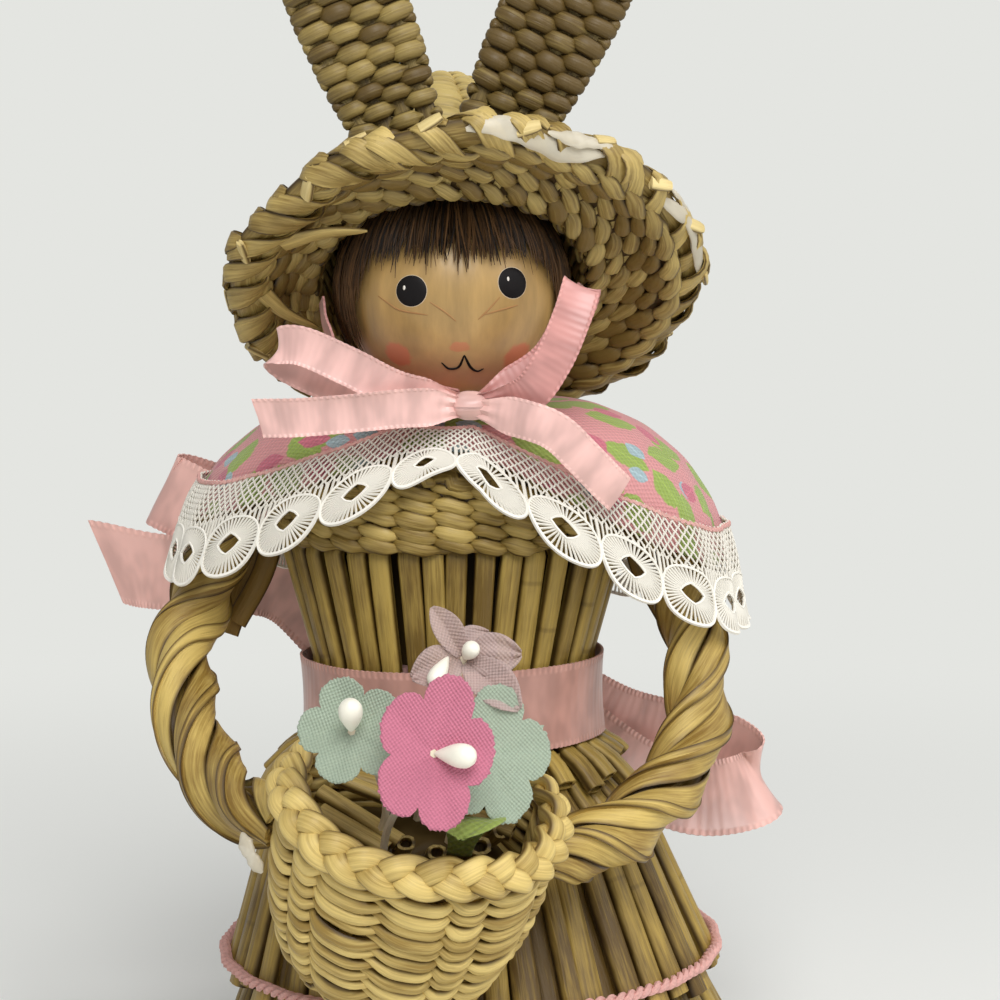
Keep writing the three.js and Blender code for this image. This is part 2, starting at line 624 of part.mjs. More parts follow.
function shawlHem(angle) {
  const turn = ((angle + Math.PI) % TAU) - Math.PI;
  const round = Math.abs(turn);
  const side = turn < 0 ? HEM_LEFT : HEM_RIGHT;
  const way = THREE.MathUtils.clamp((round - rad(side.from)) / rad(side.over), 0, 1);
  const fall = HEM_FRONT + side.drop * Math.sin((way * Math.PI) / 2);
  return lerp(fall, HEM_BACK, smoothstep(round, rad(100), rad(165)));
}

function addShawl() {
  const count = 48;
  const shares = [0, 0.25, 0.5, 0.75, 1];
  const side = (out) => shares.map((share) => ring(count, (angle) =>
    shawlPoint(angle, share * shawlHem(angle), out)));
  add("shawl", loft([...side(0), ...side(-CLOTH).reverse()], true), FINISHES.cotton());
  const points = SCALLOPS * 4;
  const row = (reach, wave, out) => ring(points, (angle) => {
    const scallop = wave * SCALLOP_DEPTH * (Math.abs(Math.sin((SCALLOPS * angle) / 2)) - 1);
    return shawlPoint(angle, shawlHem(angle) + (reach + scallop) / SHAWL_LENGTH, out);
  });
  const low = FIT;
  const high = FIT + LACE;
  add("lace_trim", loft([
    row(-LACE_LAP, 0, low), row(-LACE_LAP, 0, high),
    row(0.4 * LACE_WIDTH, 0, high), row(LACE_WIDTH, 1, high),
    row(LACE_WIDTH, 1, low), row(0.4 * LACE_WIDTH, 0, low),
  ], true), FINISHES.lace());
}

// Basket, tilted towards the viewer and resting against the front of the skirt
const basketShape = table([[0, 1], [0.35, 0.985], [0.7, 0.9], [0.92, 0.77], [1, 0.68]]);
const tilt = rad(BASKET_TILT);

// How far forward the basket sits, so that the back of its wall just clears the skirt at every height.
function basketForward() {
  const clear = [0.5, 0.6, 0.7, 0.8, 0.9, 1].map((share) => {
    const back = BASKET_HALF_DEPTH * basketShape(share) + WEAVE_BULGE;
    const drop = share * BASKET_HEIGHT;
    const z = BASKET_RIM_Z + back * Math.sin(tilt) - drop * Math.cos(tilt);
    const skirtFront = overHalfWidth(z) - flatness(z);
    return skirtFront + FIT + back * Math.cos(tilt) + drop * Math.sin(tilt);
  });
  return Math.max(...clear);
}

const basket = new THREE.Group();
basket.position.set(BASKET_X, -basketForward(), BASKET_RIM_Z);
basket.rotation.set(tilt, rad(BASKET_ROLL), 0);

function basketWall(count, share, out) {
  const scale = basketShape(share);
  return ring(count, (angle, i) => {
    const reach = typeof out === "function" ? out(i) : out;
    return vec(
      (BASKET_HALF_WIDTH * scale + reach) * Math.sin(angle),
      -(BASKET_HALF_DEPTH * scale + reach) * Math.cos(angle),
      -share * BASKET_HEIGHT,
    );
  });
}

function addBasket() {
  const count = BASKET_STAKES * 2;
  const rings = [basketWall(count, 1, -WEAVE_BULGE)];
  for (let row = BASKET_ROWS - 1; row >= 0; row--) {
    const floats = (i) => (i % 2 ? 0.2 * WEAVE_BULGE : WEAVE_BULGE * ((i / 2 + row) % 2 ? 1 : -0.4));
    rings.push(basketWall(count, (row + 0.5) / BASKET_ROWS, floats));
  }
  rings.push(basketWall(count, 0, 0));
  const floor = 1 - WEAVE / BASKET_HEIGHT;
  for (const share of [0, 0.35, 0.7, floor]) rings.push(basketWall(count, share, -WEAVE));
  add("basket_bowl", loft(rings), FINISHES.straw(), basket);

  const steps = 42;
  const middle = [BASKET_HALF_WIDTH - 0.2 * WEAVE, BASKET_HALF_DEPTH - 0.2 * WEAVE];
  const rim = [];
  for (let k = 0; k < steps; k++) {
    const angle = (k * TAU) / steps;
    rim.push(ring(7, (around) => {
      const [a, b] = plait(around, k / steps, 8, BASKET_RIM, BASKET_RIM);
      const x = (middle[0] + a) * Math.sin(angle);
      return vec(x, -(middle[1] + a) * Math.cos(angle), FIT + BASKET_RIM + b);
    }));
  }
  add("basket_rim", loft(rim, true), FINISHES.straw(), basket);

  const top = FILLING_DEPTH / BASKET_HEIGHT;
  const inside = -WEAVE - FIT;
  const crown = [0.72, 0.3].map((scale, k) => ring(24, (angle, i) => vec(
    BASKET_HALF_WIDTH * scale * Math.sin(angle),
    -BASKET_HALF_DEPTH * scale * Math.cos(angle),
    -FILLING_DEPTH + 0.4 * FILLING_MOUND * (k + 1) + (i % 3 ? 0 : 0.2 * FILLING_MOUND),
  )));
  add("basket_filling", loft([
    basketWall(24, floor - FIT / BASKET_HEIGHT, inside),
    basketWall(24, 0.7, inside),
    basketWall(24, top, inside),
    ...crown,
  ]), FINISHES.strawDark(), basket);
}

// Flowers: name, material, place over the rim, way the flower faces, foot of its stem
const FLOWERS = [
  ["flower_pink", FINISHES.pinkCloth, vec(-0.9, -8.8, 15), vec(-0.03, -0.75, 0.67), vec(-3, -3, 0)],
  ["flower_mint_left", FINISHES.mintCloth, vec(-9.5, -2.5, 12.7), vec(-0.33, -0.67, 0.66), vec(-3.6, 0, 0)],
  ["flower_mint_right", FINISHES.mintCloth, vec(5.4, -2.4, 11), vec(0.17, -0.7, 0.69), vec(3.8, 1.4, 0)],
  ["flower_lilac", FINISHES.lilacCloth, vec(1.6, 5.8, 16.3), vec(-0.05, -0.68, 0.73), vec(0.4, 4.4, 0)],
];

function addFlowers() {
  const count = 25;
  const hole = STEM_RADIUS + FIT;
  const lobes = (angle) => 0.6 + 0.4 * Math.sqrt(Math.abs(Math.cos(2.5 * angle)));
  const petalRing = (share, rise) => ring(count, (angle) => {
    const radius = share === 0 ? hole : FLOWER_RADIUS * share * lerp(1, lobes(angle), share);
    return vec(radius * Math.sin(angle), -radius * Math.cos(angle), rise + 0.16 * radius);
  });
  for (const [name, material, place, facing, foot] of FLOWERS) {
    const way = facing.clone().normalize();
    const flower = new THREE.Group();
    flower.position.copy(place);
    flower.quaternion.setFromUnitVectors(vec(0, 0, 1), way);
    basket.add(flower);
    add(`${name}_petals`, loft([
      petalRing(0, PETAL), petalRing(1, PETAL), petalRing(1, 0), petalRing(0, 0),
    ], true), material(), flower);
    const stamenLow = PETAL + 2 * FIT;
    const bud = [[0.05, 0.3], [0.3, 0.75], [0.6, 1], [0.85, 0.75], [1, 0.25]];
    add(`${name}_stamen`, loft(bud.map(([share, swell]) => oval(
      8, STAMEN_RADIUS * swell, STAMEN_RADIUS * swell, stamenLow + share * STAMEN_LENGTH,
    ))), FINISHES.stamen(), flower);
    const start = vec(foot.x, foot.y, -FILLING_DEPTH + FILLING_MOUND + FIT);
    const end = place.clone().addScaledVector(way, stamenLow - FIT);
    const bend = place.clone().addScaledVector(way, -5);
    const path = new THREE.CubicBezierCurve3(start, start.clone().add(vec(0, 0, 5)), bend, end);
    const circle = (angle) => [STEM_RADIUS * Math.cos(angle), STEM_RADIUS * Math.sin(angle)];
    add(`${name}_stem`, sweep(path, 7, 5, circle), FINISHES.wire(), basket);
  }
}

// Leaf: a folded cloth blade that leans out over the front of the filling
function addLeaf() {
  const path = new THREE.CatmullRomCurve3([
    vec(4.8, -3, -FILLING_DEPTH + FILLING_MOUND + FIT), vec(4.6, -6, 2.6), vec(4, -9.2, 5),
  ]);
  const half = table([[0, 0.5], [0.5, 3], [0.8, 3.2], [1, 0.6]]);
  const rings = [];
  const steps = 6;
  for (let k = 0; k <= steps; k++) {
    const share = k / steps;
    const centre = path.getPoint(share);
    const along = path.getTangent(share);
    const over = vec(0, along.z, -along.y).normalize();
    const width = half(share);
    rings.push([[-1, 0.5], [0, 0], [1, 0.5], [1, 0.9], [0, 0.5], [-1, 0.9]].map(([a, b]) =>
      centre.clone().add(vec(a * width, 0, 0)).addScaledVector(over, b)));
  }
  add("leaf", loft(rings), FINISHES.leafCloth(), basket);
}

// Braided arms from the shoulders round to the sides of the basket. The cut end of each leans on the wall.
function basketSide(hand) {
  const angle = rad(HAND_ANGLE[hand]);
  const drop = HAND_DROP[hand];
  const scale = basketShape(drop / BASKET_HEIGHT);
  const gap = WEAVE_BULGE + FIT + HAND_OFFSET[hand];
  const x = (BASKET_HALF_WIDTH * scale + gap) * Math.sin(angle);
  const y = -(BASKET_HALF_DEPTH * scale + gap) * Math.cos(angle);
  return vec(x, y, -drop).applyEuler(basket.rotation).add(basket.position);
}

function addArms() {
  const shoulderX = YOKE_HALF_WIDTH + WEAVE_BULGE + FIT + ARM_TOP_RADIUS;
  const shoulderZ = yokeHigh - 2.5;
  const routes = {
    arm_left: [
      vec(-shoulderX, 0, shoulderZ), vec(-27, -1, 69), vec(-29.2, -2.4, 63.6), vec(-30.9, -6, 58.5),
      vec(-29.7, -12, 53.4), vec(-27.2, -19, 49.4), vec(-24, -26, 47), basketSide(0),
    ],
    arm_right: [
      vec(shoulderX, 0, shoulderZ), vec(26.2, -1.2, 68), vec(27.4, -3, 62.6), vec(27.8, -6, 57.4),
      vec(28, -9.5, 52.2), vec(25.6, -15, 46.7), vec(21.6, -20, 43.4), vec(17.8, -25, 41.8), basketSide(1),
    ],
  };
  for (const [name, points] of Object.entries(routes)) {
    const path = new THREE.CatmullRomCurve3(points);
    const section = (angle, s) => {
      const radius = lerp(ARM_TOP_RADIUS, ARM_RADIUS, smoothstep(s, 0, 0.25));
      return plait(angle, s, ARM_TURNS, radius, 0.9 * radius);
    };
    add(name, sweep(path, 32, 10, section), FINISHES.straw());
  }
}

// Sash round the waist, tied in a bow behind
function addSash() {
  const count = 40;
  const inner = [WAIST_HALF_WIDTH + FIT, WAIST_HALF_DEPTH + FIT];
  const outer = inner.map((half) => half + RIBBON);
  add("sash", loft([
    oval(count, ...outer, sashLow), oval(count, ...outer, sashHigh),
    oval(count, ...inner, sashHigh), oval(count, ...inner, sashLow),
  ], true), FINISHES.satin());
  const centre = vec(0, outer[1] + FIT + SASH_KNOT_HALF[1], (sashLow + sashHigh) / 2);
  const rings = [];
  for (let k = 0; k <= 5; k++) {
    const polar = lerp(0.12, 0.88, k / 5) * Math.PI;
    rings.push(ring(10, (angle) => vec(
      centre.x - SASH_KNOT_HALF[0] * Math.cos(polar),
      centre.y - SASH_KNOT_HALF[1] * Math.sin(polar) * Math.cos(angle),
      centre.z + SASH_KNOT_HALF[2] * Math.sin(polar) * Math.sin(angle),
    )));
  }
  add("sash_knot", loft(rings), FINISHES.satin());
  const from = (x, y, z) => vec(x, y, z).add(centre);
  const upLeft = [vec(0.5, 0, 0.85), vec(0.47, 0, 0.88), vec(0.5, 0, 0.85)];
  const downRight = [
    vec(0, 0, 1), vec(0.2, 0, 1), vec(0.1, 0, 1), vec(-0.35, 0.2, 0.9),
    vec(-0.1, 0.5, 0.85), vec(0.2, 0.2, 0.95), vec(0, 0, 1),
  ];
  const upright = [vec(0.3, 0, 1), vec(0.5, 0, 0.9), vec(0.15, 0, 1), vec(0.05, 0, 1)];
  const hanging = [vec(1, 0, 0.2), vec(1, 0.3, 0.25), vec(1, 0.4, 0.2)];
  add("sash_bow_loop_left", ribbon([
    from(-4, 1.4, 1.6), from(-13, 9, 9), from(-25, 9.2, 16.6), from(-33.4, 7.6, 20.2),
    from(-36, 5.4, 20.8), from(-33, 4.2, 19.4), from(-25, 5.2, 15), from(-13, 5.8, 7.6), from(-4, 0.4, 1),
  ], upLeft, WIDE_RIBBON, { steps: 24 }), FINISHES.satin());
  add("sash_bow_loop_right", ribbon([
    from(3.6, 1, -0.6), from(8, 6.4, -3), from(13, 9.4, -5.6), from(20.5, 10, -9.6), from(28, 9.8, -11.6),
    from(34.5, 8.2, -13), from(38.4, 4.6, -15.2), from(36, 1.8, -16.6), from(29.5, 1.8, -17.2),
    from(21.5, 4, -14.4), from(14, 6.2, -9.4), from(8, 4.6, -4.8), from(3.5, 0.4, -1.2),
  ], downRight, WIDE_RIBBON, { steps: 26 }), FINISHES.satin());
  add("sash_bow_tail_left", ribbon([
    from(-5, -0.8, -2.4), from(-13, 2, 2), from(-20, 3.1, 8.6), from(-26, 3, 10.4),
    from(-36.3, 2.6, 11), from(-43, 2.4, 12.3),
  ], upright, WIDE_RIBBON, { steps: 12, slant: 6 }), FINISHES.satin());
  add("sash_bow_tail_right", ribbon([
    from(-1, 2.1, -3), from(1.6, 7.4, -13), from(6, 11.8, -22), from(8.6, 15.5, -29),
  ], hanging, WIDE_RIBBON, { steps: 10, slant: 4 }), FINISHES.satin());
}

addSkirt();
addCore();
addBodice();
addYoke();
addHead();
addHair();
addHat();
addEar("ear_left", EAR_SPREAD[0], EAR_LEAN[0]);
addEar("ear_right", EAR_SPREAD[1], EAR_LEAN[1]);
addChinStraps();
addNeckBow();
addShawl();
addArms();
addBasket();
addFlowers();
addLeaf();
addSash();
doll.add(basket);

// The origin lies on the floor, under the middle of the doll's box.
const box = new THREE.Box3().setFromObject(doll);
const middle = box.getCenter(vec(0, 0, 0));
doll.position.set(-middle.x, -middle.y, -box.min.z);

export default doll;
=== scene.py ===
# %% [markdown]
# # A straw doll, dressed piece by piece
# The real doll is a craft piece of about 150 mm: tied straw, woven straw, a turned wooden ball, printed
# cotton, lace, satin ribbon and cloth flowers. Everything on it is a strand or a sheet, so nearly every
# piece here is one of two things: an outline carried along a path, or a function of two parameters on a
# grid. Sizes are in millimetres on the doll's own axis, and one step at the end of each piece turns them
# into metres.

import bpy
import numpy as np
from numpy import cos, pi, radians, sin
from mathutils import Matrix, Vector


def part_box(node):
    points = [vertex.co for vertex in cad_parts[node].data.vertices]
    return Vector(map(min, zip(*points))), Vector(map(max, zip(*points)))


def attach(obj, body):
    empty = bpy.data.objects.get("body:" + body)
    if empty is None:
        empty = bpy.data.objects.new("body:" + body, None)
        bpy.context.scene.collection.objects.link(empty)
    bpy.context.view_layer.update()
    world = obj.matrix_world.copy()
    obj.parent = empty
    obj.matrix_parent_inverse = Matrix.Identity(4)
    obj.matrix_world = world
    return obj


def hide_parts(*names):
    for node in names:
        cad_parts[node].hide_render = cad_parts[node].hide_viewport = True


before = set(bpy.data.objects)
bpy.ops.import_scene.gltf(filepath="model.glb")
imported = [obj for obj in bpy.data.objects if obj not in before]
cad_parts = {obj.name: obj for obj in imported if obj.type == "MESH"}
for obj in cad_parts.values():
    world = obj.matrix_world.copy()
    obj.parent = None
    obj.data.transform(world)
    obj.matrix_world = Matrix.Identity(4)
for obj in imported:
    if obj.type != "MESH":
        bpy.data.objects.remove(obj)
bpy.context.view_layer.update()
MM = 0.001
head_low, head_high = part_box("head")
SHIFT = np.array([head_low.x + head_high.x, head_low.y + head_high.y, 0.0]) / 2 / MM
print("doll axis stands at", SHIFT.round(2), "mm")

# %% [markdown]
# ## Arrays into meshes
# A learner could place every straw by hand, or with modifiers and curves. Working the points out as whole
# arrays is quicker here, because the doll has thousands of strands that differ only in a few numbers.
# Each strand also carries four numbers for its finish: millimetres across, millimetres along, its own
# shade, and how near a point is to the strand's edge, which the finish darkens as painted shade.

# %% Small array helpers
TAU = 2 * pi


def unit(vectors):
    """Each vector divided by its own length."""
    return vectors / np.maximum(np.linalg.norm(vectors, axis=-1, keepdims=True), 1e-9)


def ramp(value, start, end):
    """Smooth rise from 0 at start to 1 at end: 3 t squared less 2 t cubed."""
    t = np.clip((value - start) / (end - start), 0, 1)
    return t * t * (3 - 2 * t)


def round_angles(count):
    """Angles of count even steps once round, from 0."""
    return np.arange(count) * TAU / count


def from_behind(count):
    """The same angles, started behind the doll, where a seam is out of sight."""
    return pi + round_angles(count)


def oval(turn, wide, deep, z):
    """Points round an upright oval by turn from the front: (wide * sine, -deep * cosine, z)."""
    return np.stack(np.broadcast_arrays(wide * sin(turn), -deep * cos(turn), z), -1)


def halves(wide, deep):
    """Half width and half depth along a path, as the last axis of one array."""
    return np.stack(np.broadcast_arrays(wide, deep), -1)


def smooth_path(points, count):
    """Catmull-Rom curve through given points, returned as count points spaced evenly along it."""
    p = np.asarray(points, float)
    q = np.concatenate([[2 * p[0] - p[1]], p, [2 * p[-1] - p[-2]]])
    t = np.linspace(0, len(p) - 1, 40 * len(p))
    k = np.minimum(t.astype(int), len(p) - 2)
    s = (t - k)[:, None]
    a, b, c, d = q[k], q[k + 1], q[k + 2], q[k + 3]
    square, cube = 2 * a - 5 * b + 4 * c - d, 3 * b - a - 3 * c + d
    curve = 0.5 * (2 * b + (c - a) * s + square * s**2 + cube * s**3)
    run = np.concatenate([[0], np.cumsum(np.linalg.norm(np.diff(curve, axis=0), axis=1))])
    even = np.linspace(0, run[-1], count)
    return np.stack([np.interp(even, run, curve[:, i]) for i in range(3)], 1)


def in_between(rows, count):
    """Straight-line values between given rows, at count even shares of the way."""
    rows = np.asarray(rows, float)
    share = np.linspace(0, 1, len(rows))
    return np.stack([np.interp(np.linspace(0, 1, count), share, column) for column in rows.T], 1)


# %% Outlines carried along paths
def tube_faces(count, steps, sides, closed):
    """Faces of count tubes: each ring joined to the next, and a fan at both ends of an open one."""
    ring = np.arange(count * steps * sides).reshape(count, steps, sides)
    low = ring if closed else ring[:, :-1]
    high = np.roll(ring, -1, 1) if closed else ring[:, 1:]
    walls = np.stack([low, np.roll(low, -1, 2), np.roll(high, -1, 2), high], -1).reshape(-1, 4)
    if closed:
        return [walls]
    first = count * steps * sides + np.arange(count)[:, None] + np.zeros((1, sides), int)
    last = first + count
    start, end = ring[:, 0], ring[:, -1]
    fans = np.concatenate([
        np.stack([first, np.roll(start, -1, 1), start], -1).reshape(-1, 3),
        np.stack([last, end, np.roll(end, -1, 1)], -1).reshape(-1, 3),
    ])
    return [walls, fans]


LIP_SHARE, HOLE_SHARE, HOLE_DEPTH = 0.66, 0.6, 1.3


def sweep(paths, deep, outline, size, tint=0.0, closed=False, hollow=False):
    """Carries one closed outline along many paths at once, or along one path.

    Point = path + wide * outline x * half width + deep * outline y * half depth. Wide is square to the path
    and to the given deep direction. Hollow ends turn in to a lip and run back inside, as a cut straw does.
    One direction, size or tint serves every path. Returns the points, the faces and each point's marks:
    (across, along, shade, edge), with edge = 1 - |outline y|.
    """
    paths = paths.reshape(-1, *paths.shape[-2:])
    size = np.broadcast_to(size, (*paths.shape[:2], 2))
    tint = np.broadcast_to(tint, len(paths))
    step = np.roll(paths, -1, 1) - np.roll(paths, 1, 1) if closed else np.gradient(paths, axis=1)
    along = unit(step)
    wide = unit(np.cross(np.broadcast_to(deep, paths.shape), along))
    deep = np.cross(along, wide)
    x = size[..., 0:1] * outline[:, 0]
    y = size[..., 1:2] * outline[:, 1]
    points = paths[:, :, None] + wide[:, :, None] * x[..., None] + deep[:, :, None] * y[..., None]
    run = np.cumsum(np.linalg.norm(np.diff(paths, axis=1, prepend=paths[:, :1]), axis=2), 1)
    edge = 1 - abs(outline[:, 1])
    strand = np.stack([x, run[:, :, None] + 0 * x, tint[:, None, None] + 0 * x, edge + 0 * x], -1)
    if hollow:
        ends = []
        for k, way in ((0, 1), (-1, -1)):
            centre = paths[:, k, None]
            from_centre = points[:, k] - centre
            lip = centre + LIP_SHARE * from_centre
            bottom = centre + HOLE_SHARE * from_centre + way * HOLE_DEPTH * along[:, k, None]
            ends.append((lip[:, None], bottom[:, None]))
        (lip0, bottom0), (lip1, bottom1) = ends
        points = np.concatenate([bottom0, lip0, points, lip1, bottom1], 1)
        ends = strand[:, [0, 0, -1, -1]]
        # The bottom of each hollow end counts as an edge, so it takes the painted shade inside the cut straw.
        ends[:, [0, 3], :, 3] = 1
        strand = np.concatenate([ends[:, :2], strand, ends[:, 2:]], 1)
    count, steps, sides = points.shape[:3]
    faces = tube_faces(count, steps, sides, closed)
    flat, marks = points.reshape(-1, 3), strand.reshape(-1, 4)
    if not closed:
        flat = np.concatenate([flat, points[:, 0].mean(1), points[:, -1].mean(1)])
        marks = np.concatenate([marks, strand[:, 0].mean(1), strand[:, -1].mean(1)])
    return flat, faces, marks


def four_marks(marks):
    """Marks of a shape, with an edge of 0 where it has none."""
    return np.pad(marks, ((0, 0), (0, 4 - marks.shape[1])))


def joined(*shapes):
    """Several shapes as one: points stacked, and face numbers raised by the points before them."""
    starts = np.cumsum([0] + [len(shape[0]) for shape in shapes])
    faces = [rows + start for shape, start in zip(shapes, starts) for rows in shape[1]]
    points = np.concatenate([shape[0] for shape in shapes])
    return points, faces, np.concatenate([four_marks(shape[2]) for shape in shapes])


def grid_faces(rows, columns, closed=False):
    """Faces of one grid of points. A closed grid joins its last column to its first."""
    number = np.arange(rows * columns).reshape(rows, columns)
    right = np.roll(number, -1, 1)
    if not closed:
        number, right = number[:, :-1], right[:, :-1]
    return [np.stack([number[:-1], right[:-1], right[1:], number[1:]], -1).reshape(-1, 4)]


def dome_faces(rows, columns, tips=2, inside_out=False):
    """Faces of a grid closed round, with fans to one or two tips, which are the points after it."""
    faces = grid_faces(rows, columns, closed=True)
    tip = np.full(columns, rows * columns)
    first = np.arange(columns)
    faces.append(np.stack([tip, np.roll(first, -1), first], 1))
    if tips == 2:
        last = first + (rows - 1) * columns
        faces.append(np.stack([tip + 1, last, np.roll(last, -1)], 1))
    return [part[:, ::-1] for part in faces] if inside_out else faces


# %% Put a shape into a mesh object
def add_piece(name, shape, material, nodes=(), crease=50):
    """One object from (points, faces, marks), which rides on the body and replaces solids."""
    points, faces, marks = shape
    mesh = bpy.data.meshes.new(name)
    mesh.from_pydata(((points + SHIFT) * MM).tolist(), [], [row for rows in faces for row in rows.tolist()])
    marks = four_marks(marks).astype(np.float32)
    mesh.attributes.new("strand", "FLOAT_VECTOR", "POINT").data.foreach_set("vector", marks[:, :3].ravel())
    mesh.attributes.new("edge", "FLOAT", "POINT").data.foreach_set("value", marks[:, 3].copy())
    mesh.shade_smooth()
    mesh.set_sharp_from_angle(angle=radians(crease))
    mesh.materials.append(material)
    piece = bpy.data.objects.new(name, mesh)
    bpy.context.scene.collection.objects.link(piece)
    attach(piece, "root")
    if nodes:
        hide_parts(*nodes)
    print(name, "has", len(mesh.polygons), "faces")
    return piece


def superoval(sides, power):
    """Closed outline of half sizes 1: cosine and sine to a power that squares its corners."""
    turn = round_angles(sides)
    c, s = cos(turn), sin(turn)
    return np.stack([np.sign(c) * abs(c) ** power, np.sign(s) * abs(s) ** power], 1)


STRAW_OUTLINE = superoval(10, 0.75)
ROUND_OUTLINE = superoval(6, 1)

# %% [markdown]
# ## Finishes
# Straw, ribbon and cloth all get their detail from the strand marks: streaks run along a strand and vary
# across it, whatever way the strand bends. The effects that several finishes share are node groups, built
# once.

# %% Node helpers
def paint(red, green, blue):
    """A screen colour of 0 to 255 as the linear colour that shaders use."""
    c = np.array([red, green, blue]) / 255
    linear = np.where(c <= 0.04045, c / 12.92, ((c + 0.055) / 1.055) ** 2.4)
    return (*linear.tolist(), 1.0)


def fill(tree, sockets, values):
    """Fills sockets by name or number. A value that is a socket is linked, and any other is set."""
    for key, value in values.items():
        if isinstance(value, bpy.types.NodeSocket):
            tree.links.new(value, sockets[key])
        else:
            sockets[key].default_value = value


def node(tree, kind, values=None, **settings):
    """One shader node with its settings and its inputs."""
    made = tree.nodes.new("ShaderNode" + kind)
    for key, value in settings.items():
        setattr(made, key, value)
    fill(tree, made.inputs, values or {})
    return made


def maths(tree, operation, *values):
    """One Math node, as its output."""
    return node(tree, "Math", dict(enumerate(values)), operation=operation).outputs[0]


MIX_SHARE, MIX_FIRST, MIX_SECOND, MIX_COLOR = 0, 6, 7, 2


def blend(tree, share, first, second, kind="MIX"):
    """Two colours mixed by a share."""
    values = {MIX_SHARE: share, MIX_FIRST: first, MIX_SECOND: second}
    return node(tree, "Mix", values, data_type="RGBA", blend_type=kind).outputs[MIX_COLOR]


def multiply(tree, color, value):
    """A colour times one value."""
    grey = node(tree, "CombineColor", {0: value, 1: value, 2: value}).outputs[0]
    return blend(tree, 1.0, color, grey, "MULTIPLY")


def stretch(tree, value, low, high, to_low=0.0, to_high=1.0):
    """A value eased from one span to another."""
    values = {"Value": value, "From Min": low, "From Max": high, "To Min": to_low, "To Max": to_high}
    return node(tree, "MapRange", values, interpolation_type="SMOOTHSTEP").outputs["Result"]


def strand_marks(tree):
    """The strand's own (across, along, shade) as three sockets."""
    marks = node(tree, "Attribute", attribute_name="strand").outputs["Vector"]
    return node(tree, "SeparateXYZ", {"Vector": marks}).outputs


def noise(tree, vector, scale, detail=2.0, roughness=0.5):
    """Noise of one value on a vector."""
    values = {"Vector": vector, "Scale": scale, "Detail": detail, "Roughness": roughness}
    return node(tree, "TexNoise", values).outputs["Fac"]


def vector(tree, x, y, z=0.0):
    """Three values as one vector."""
    return node(tree, "CombineXYZ", {"X": x, "Y": y, "Z": z}).outputs[0]


def new_group(name, inputs, outputs):
    """An empty node group with named sockets, with its inner ends."""
    tree = bpy.data.node_groups.new(name, "ShaderNodeTree")
    for label, kind, value in inputs:
        socket = tree.interface.new_socket(label, in_out="INPUT", socket_type="NodeSocket" + kind)
        socket.default_value = value
    for label, kind in outputs:
        tree.interface.new_socket(label, in_out="OUTPUT", socket_type="NodeSocket" + kind)
    return tree, tree.nodes.new("NodeGroupInput").outputs, tree.nodes.new("NodeGroupOutput").inputs


def new_finish(name):
    """A material with its tree and its main shader."""
    material = bpy.data.materials.new(name)
    material.use_nodes = True
    return material, material.node_tree, material.node_tree.nodes["Principled BSDF"]


def place_group(tree, group, values):
    """A node group placed in a material."""
    made = tree.nodes.new("ShaderNodeGroup")
    made.node_tree = group
    fill(tree, made.inputs, values)
    return made.outputs


def bump(tree, shader, height, distance):
    """Height in millimetres of relief, as a bump on the shader's normal."""
    made = node(tree, "Bump", {"Height": height, "Strength": 1.0, "Distance": distance * MM})
    fill(tree, shader.inputs, {"Normal": made.outputs[0]})


# %% Straw grain group
STRAW_SEED, KNOT_PITCH = 57.0, 31.0
KNOT_SHADE, PAINTED_EDGE_SHADE = (0.45, 0.4, 0.35, 1), (0.2, 0.16, 0.1, 1)


def make_straw_grain():
    """Streaks along the strand, slow blotches, one shade per strand, a dark ring where the stalk had a
    knot, and painted shade at the strand's edges, where strands meet."""
    tree, given, out = new_group(
        "Straw grain",
        [("Light", "Color", (1, 1, 1, 1)), ("Dark", "Color", (0, 0, 0, 1)), ("Knots", "Float", 1.0)],
        [("Color", "Color"), ("Roughness", "Float"), ("Height", "Float")],
    )
    across, along, shade = strand_marks(tree)
    own = maths(tree, "MULTIPLY", shade, STRAW_SEED)
    slow = maths(tree, "MULTIPLY", along, 0.05)
    streak = noise(tree, vector(tree, maths(tree, "ADD", across, own), slow, own), 3.4, 3.0, 0.6)
    slow_blotch = maths(tree, "MULTIPLY", along, 0.16)
    blotch = noise(tree, vector(tree, own, slow_blotch, maths(tree, "MULTIPLY", across, 0.3)), 1.0, 2.0)
    light = 0.5
    for value, amount in ((streak, 1.7), (blotch, 1.3), (shade, 0.8)):
        light = maths(tree, "MULTIPLY_ADD", maths(tree, "SUBTRACT", value, 0.5), amount, light)
    color = blend(tree, light, given["Dark"], given["Light"])
    turn = maths(tree, "MODULO", maths(tree, "MULTIPLY_ADD", shade, 97.0, along), KNOT_PITCH)
    from_knot = maths(tree, "ABSOLUTE", maths(tree, "SUBTRACT", turn, KNOT_PITCH / 2))
    knot = maths(tree, "MULTIPLY", stretch(tree, from_knot, 0.1, 0.4, 1.0, 0.0), given["Knots"])
    color = blend(tree, knot, color, blend(tree, 1.0, given["Dark"], KNOT_SHADE, "MULTIPLY"))
    # Painted shade: the colour darkens towards the strand's edges, for the shadow where strands meet.
    edge = node(tree, "Attribute", attribute_name="edge").outputs["Fac"]
    painted_shade = blend(tree, 1.0, color, PAINTED_EDGE_SHADE, "MULTIPLY")
    fill(tree, out, {
        "Color": blend(tree, stretch(tree, edge, 0.25, 1.0), color, painted_shade),
        "Roughness": stretch(tree, streak, 0.2, 0.8, 0.38, 0.6),
        "Height": maths(tree, "SUBTRACT", streak, maths(tree, "MULTIPLY", knot, 0.8)),
    })
    return tree


straw_grain = make_straw_grain()


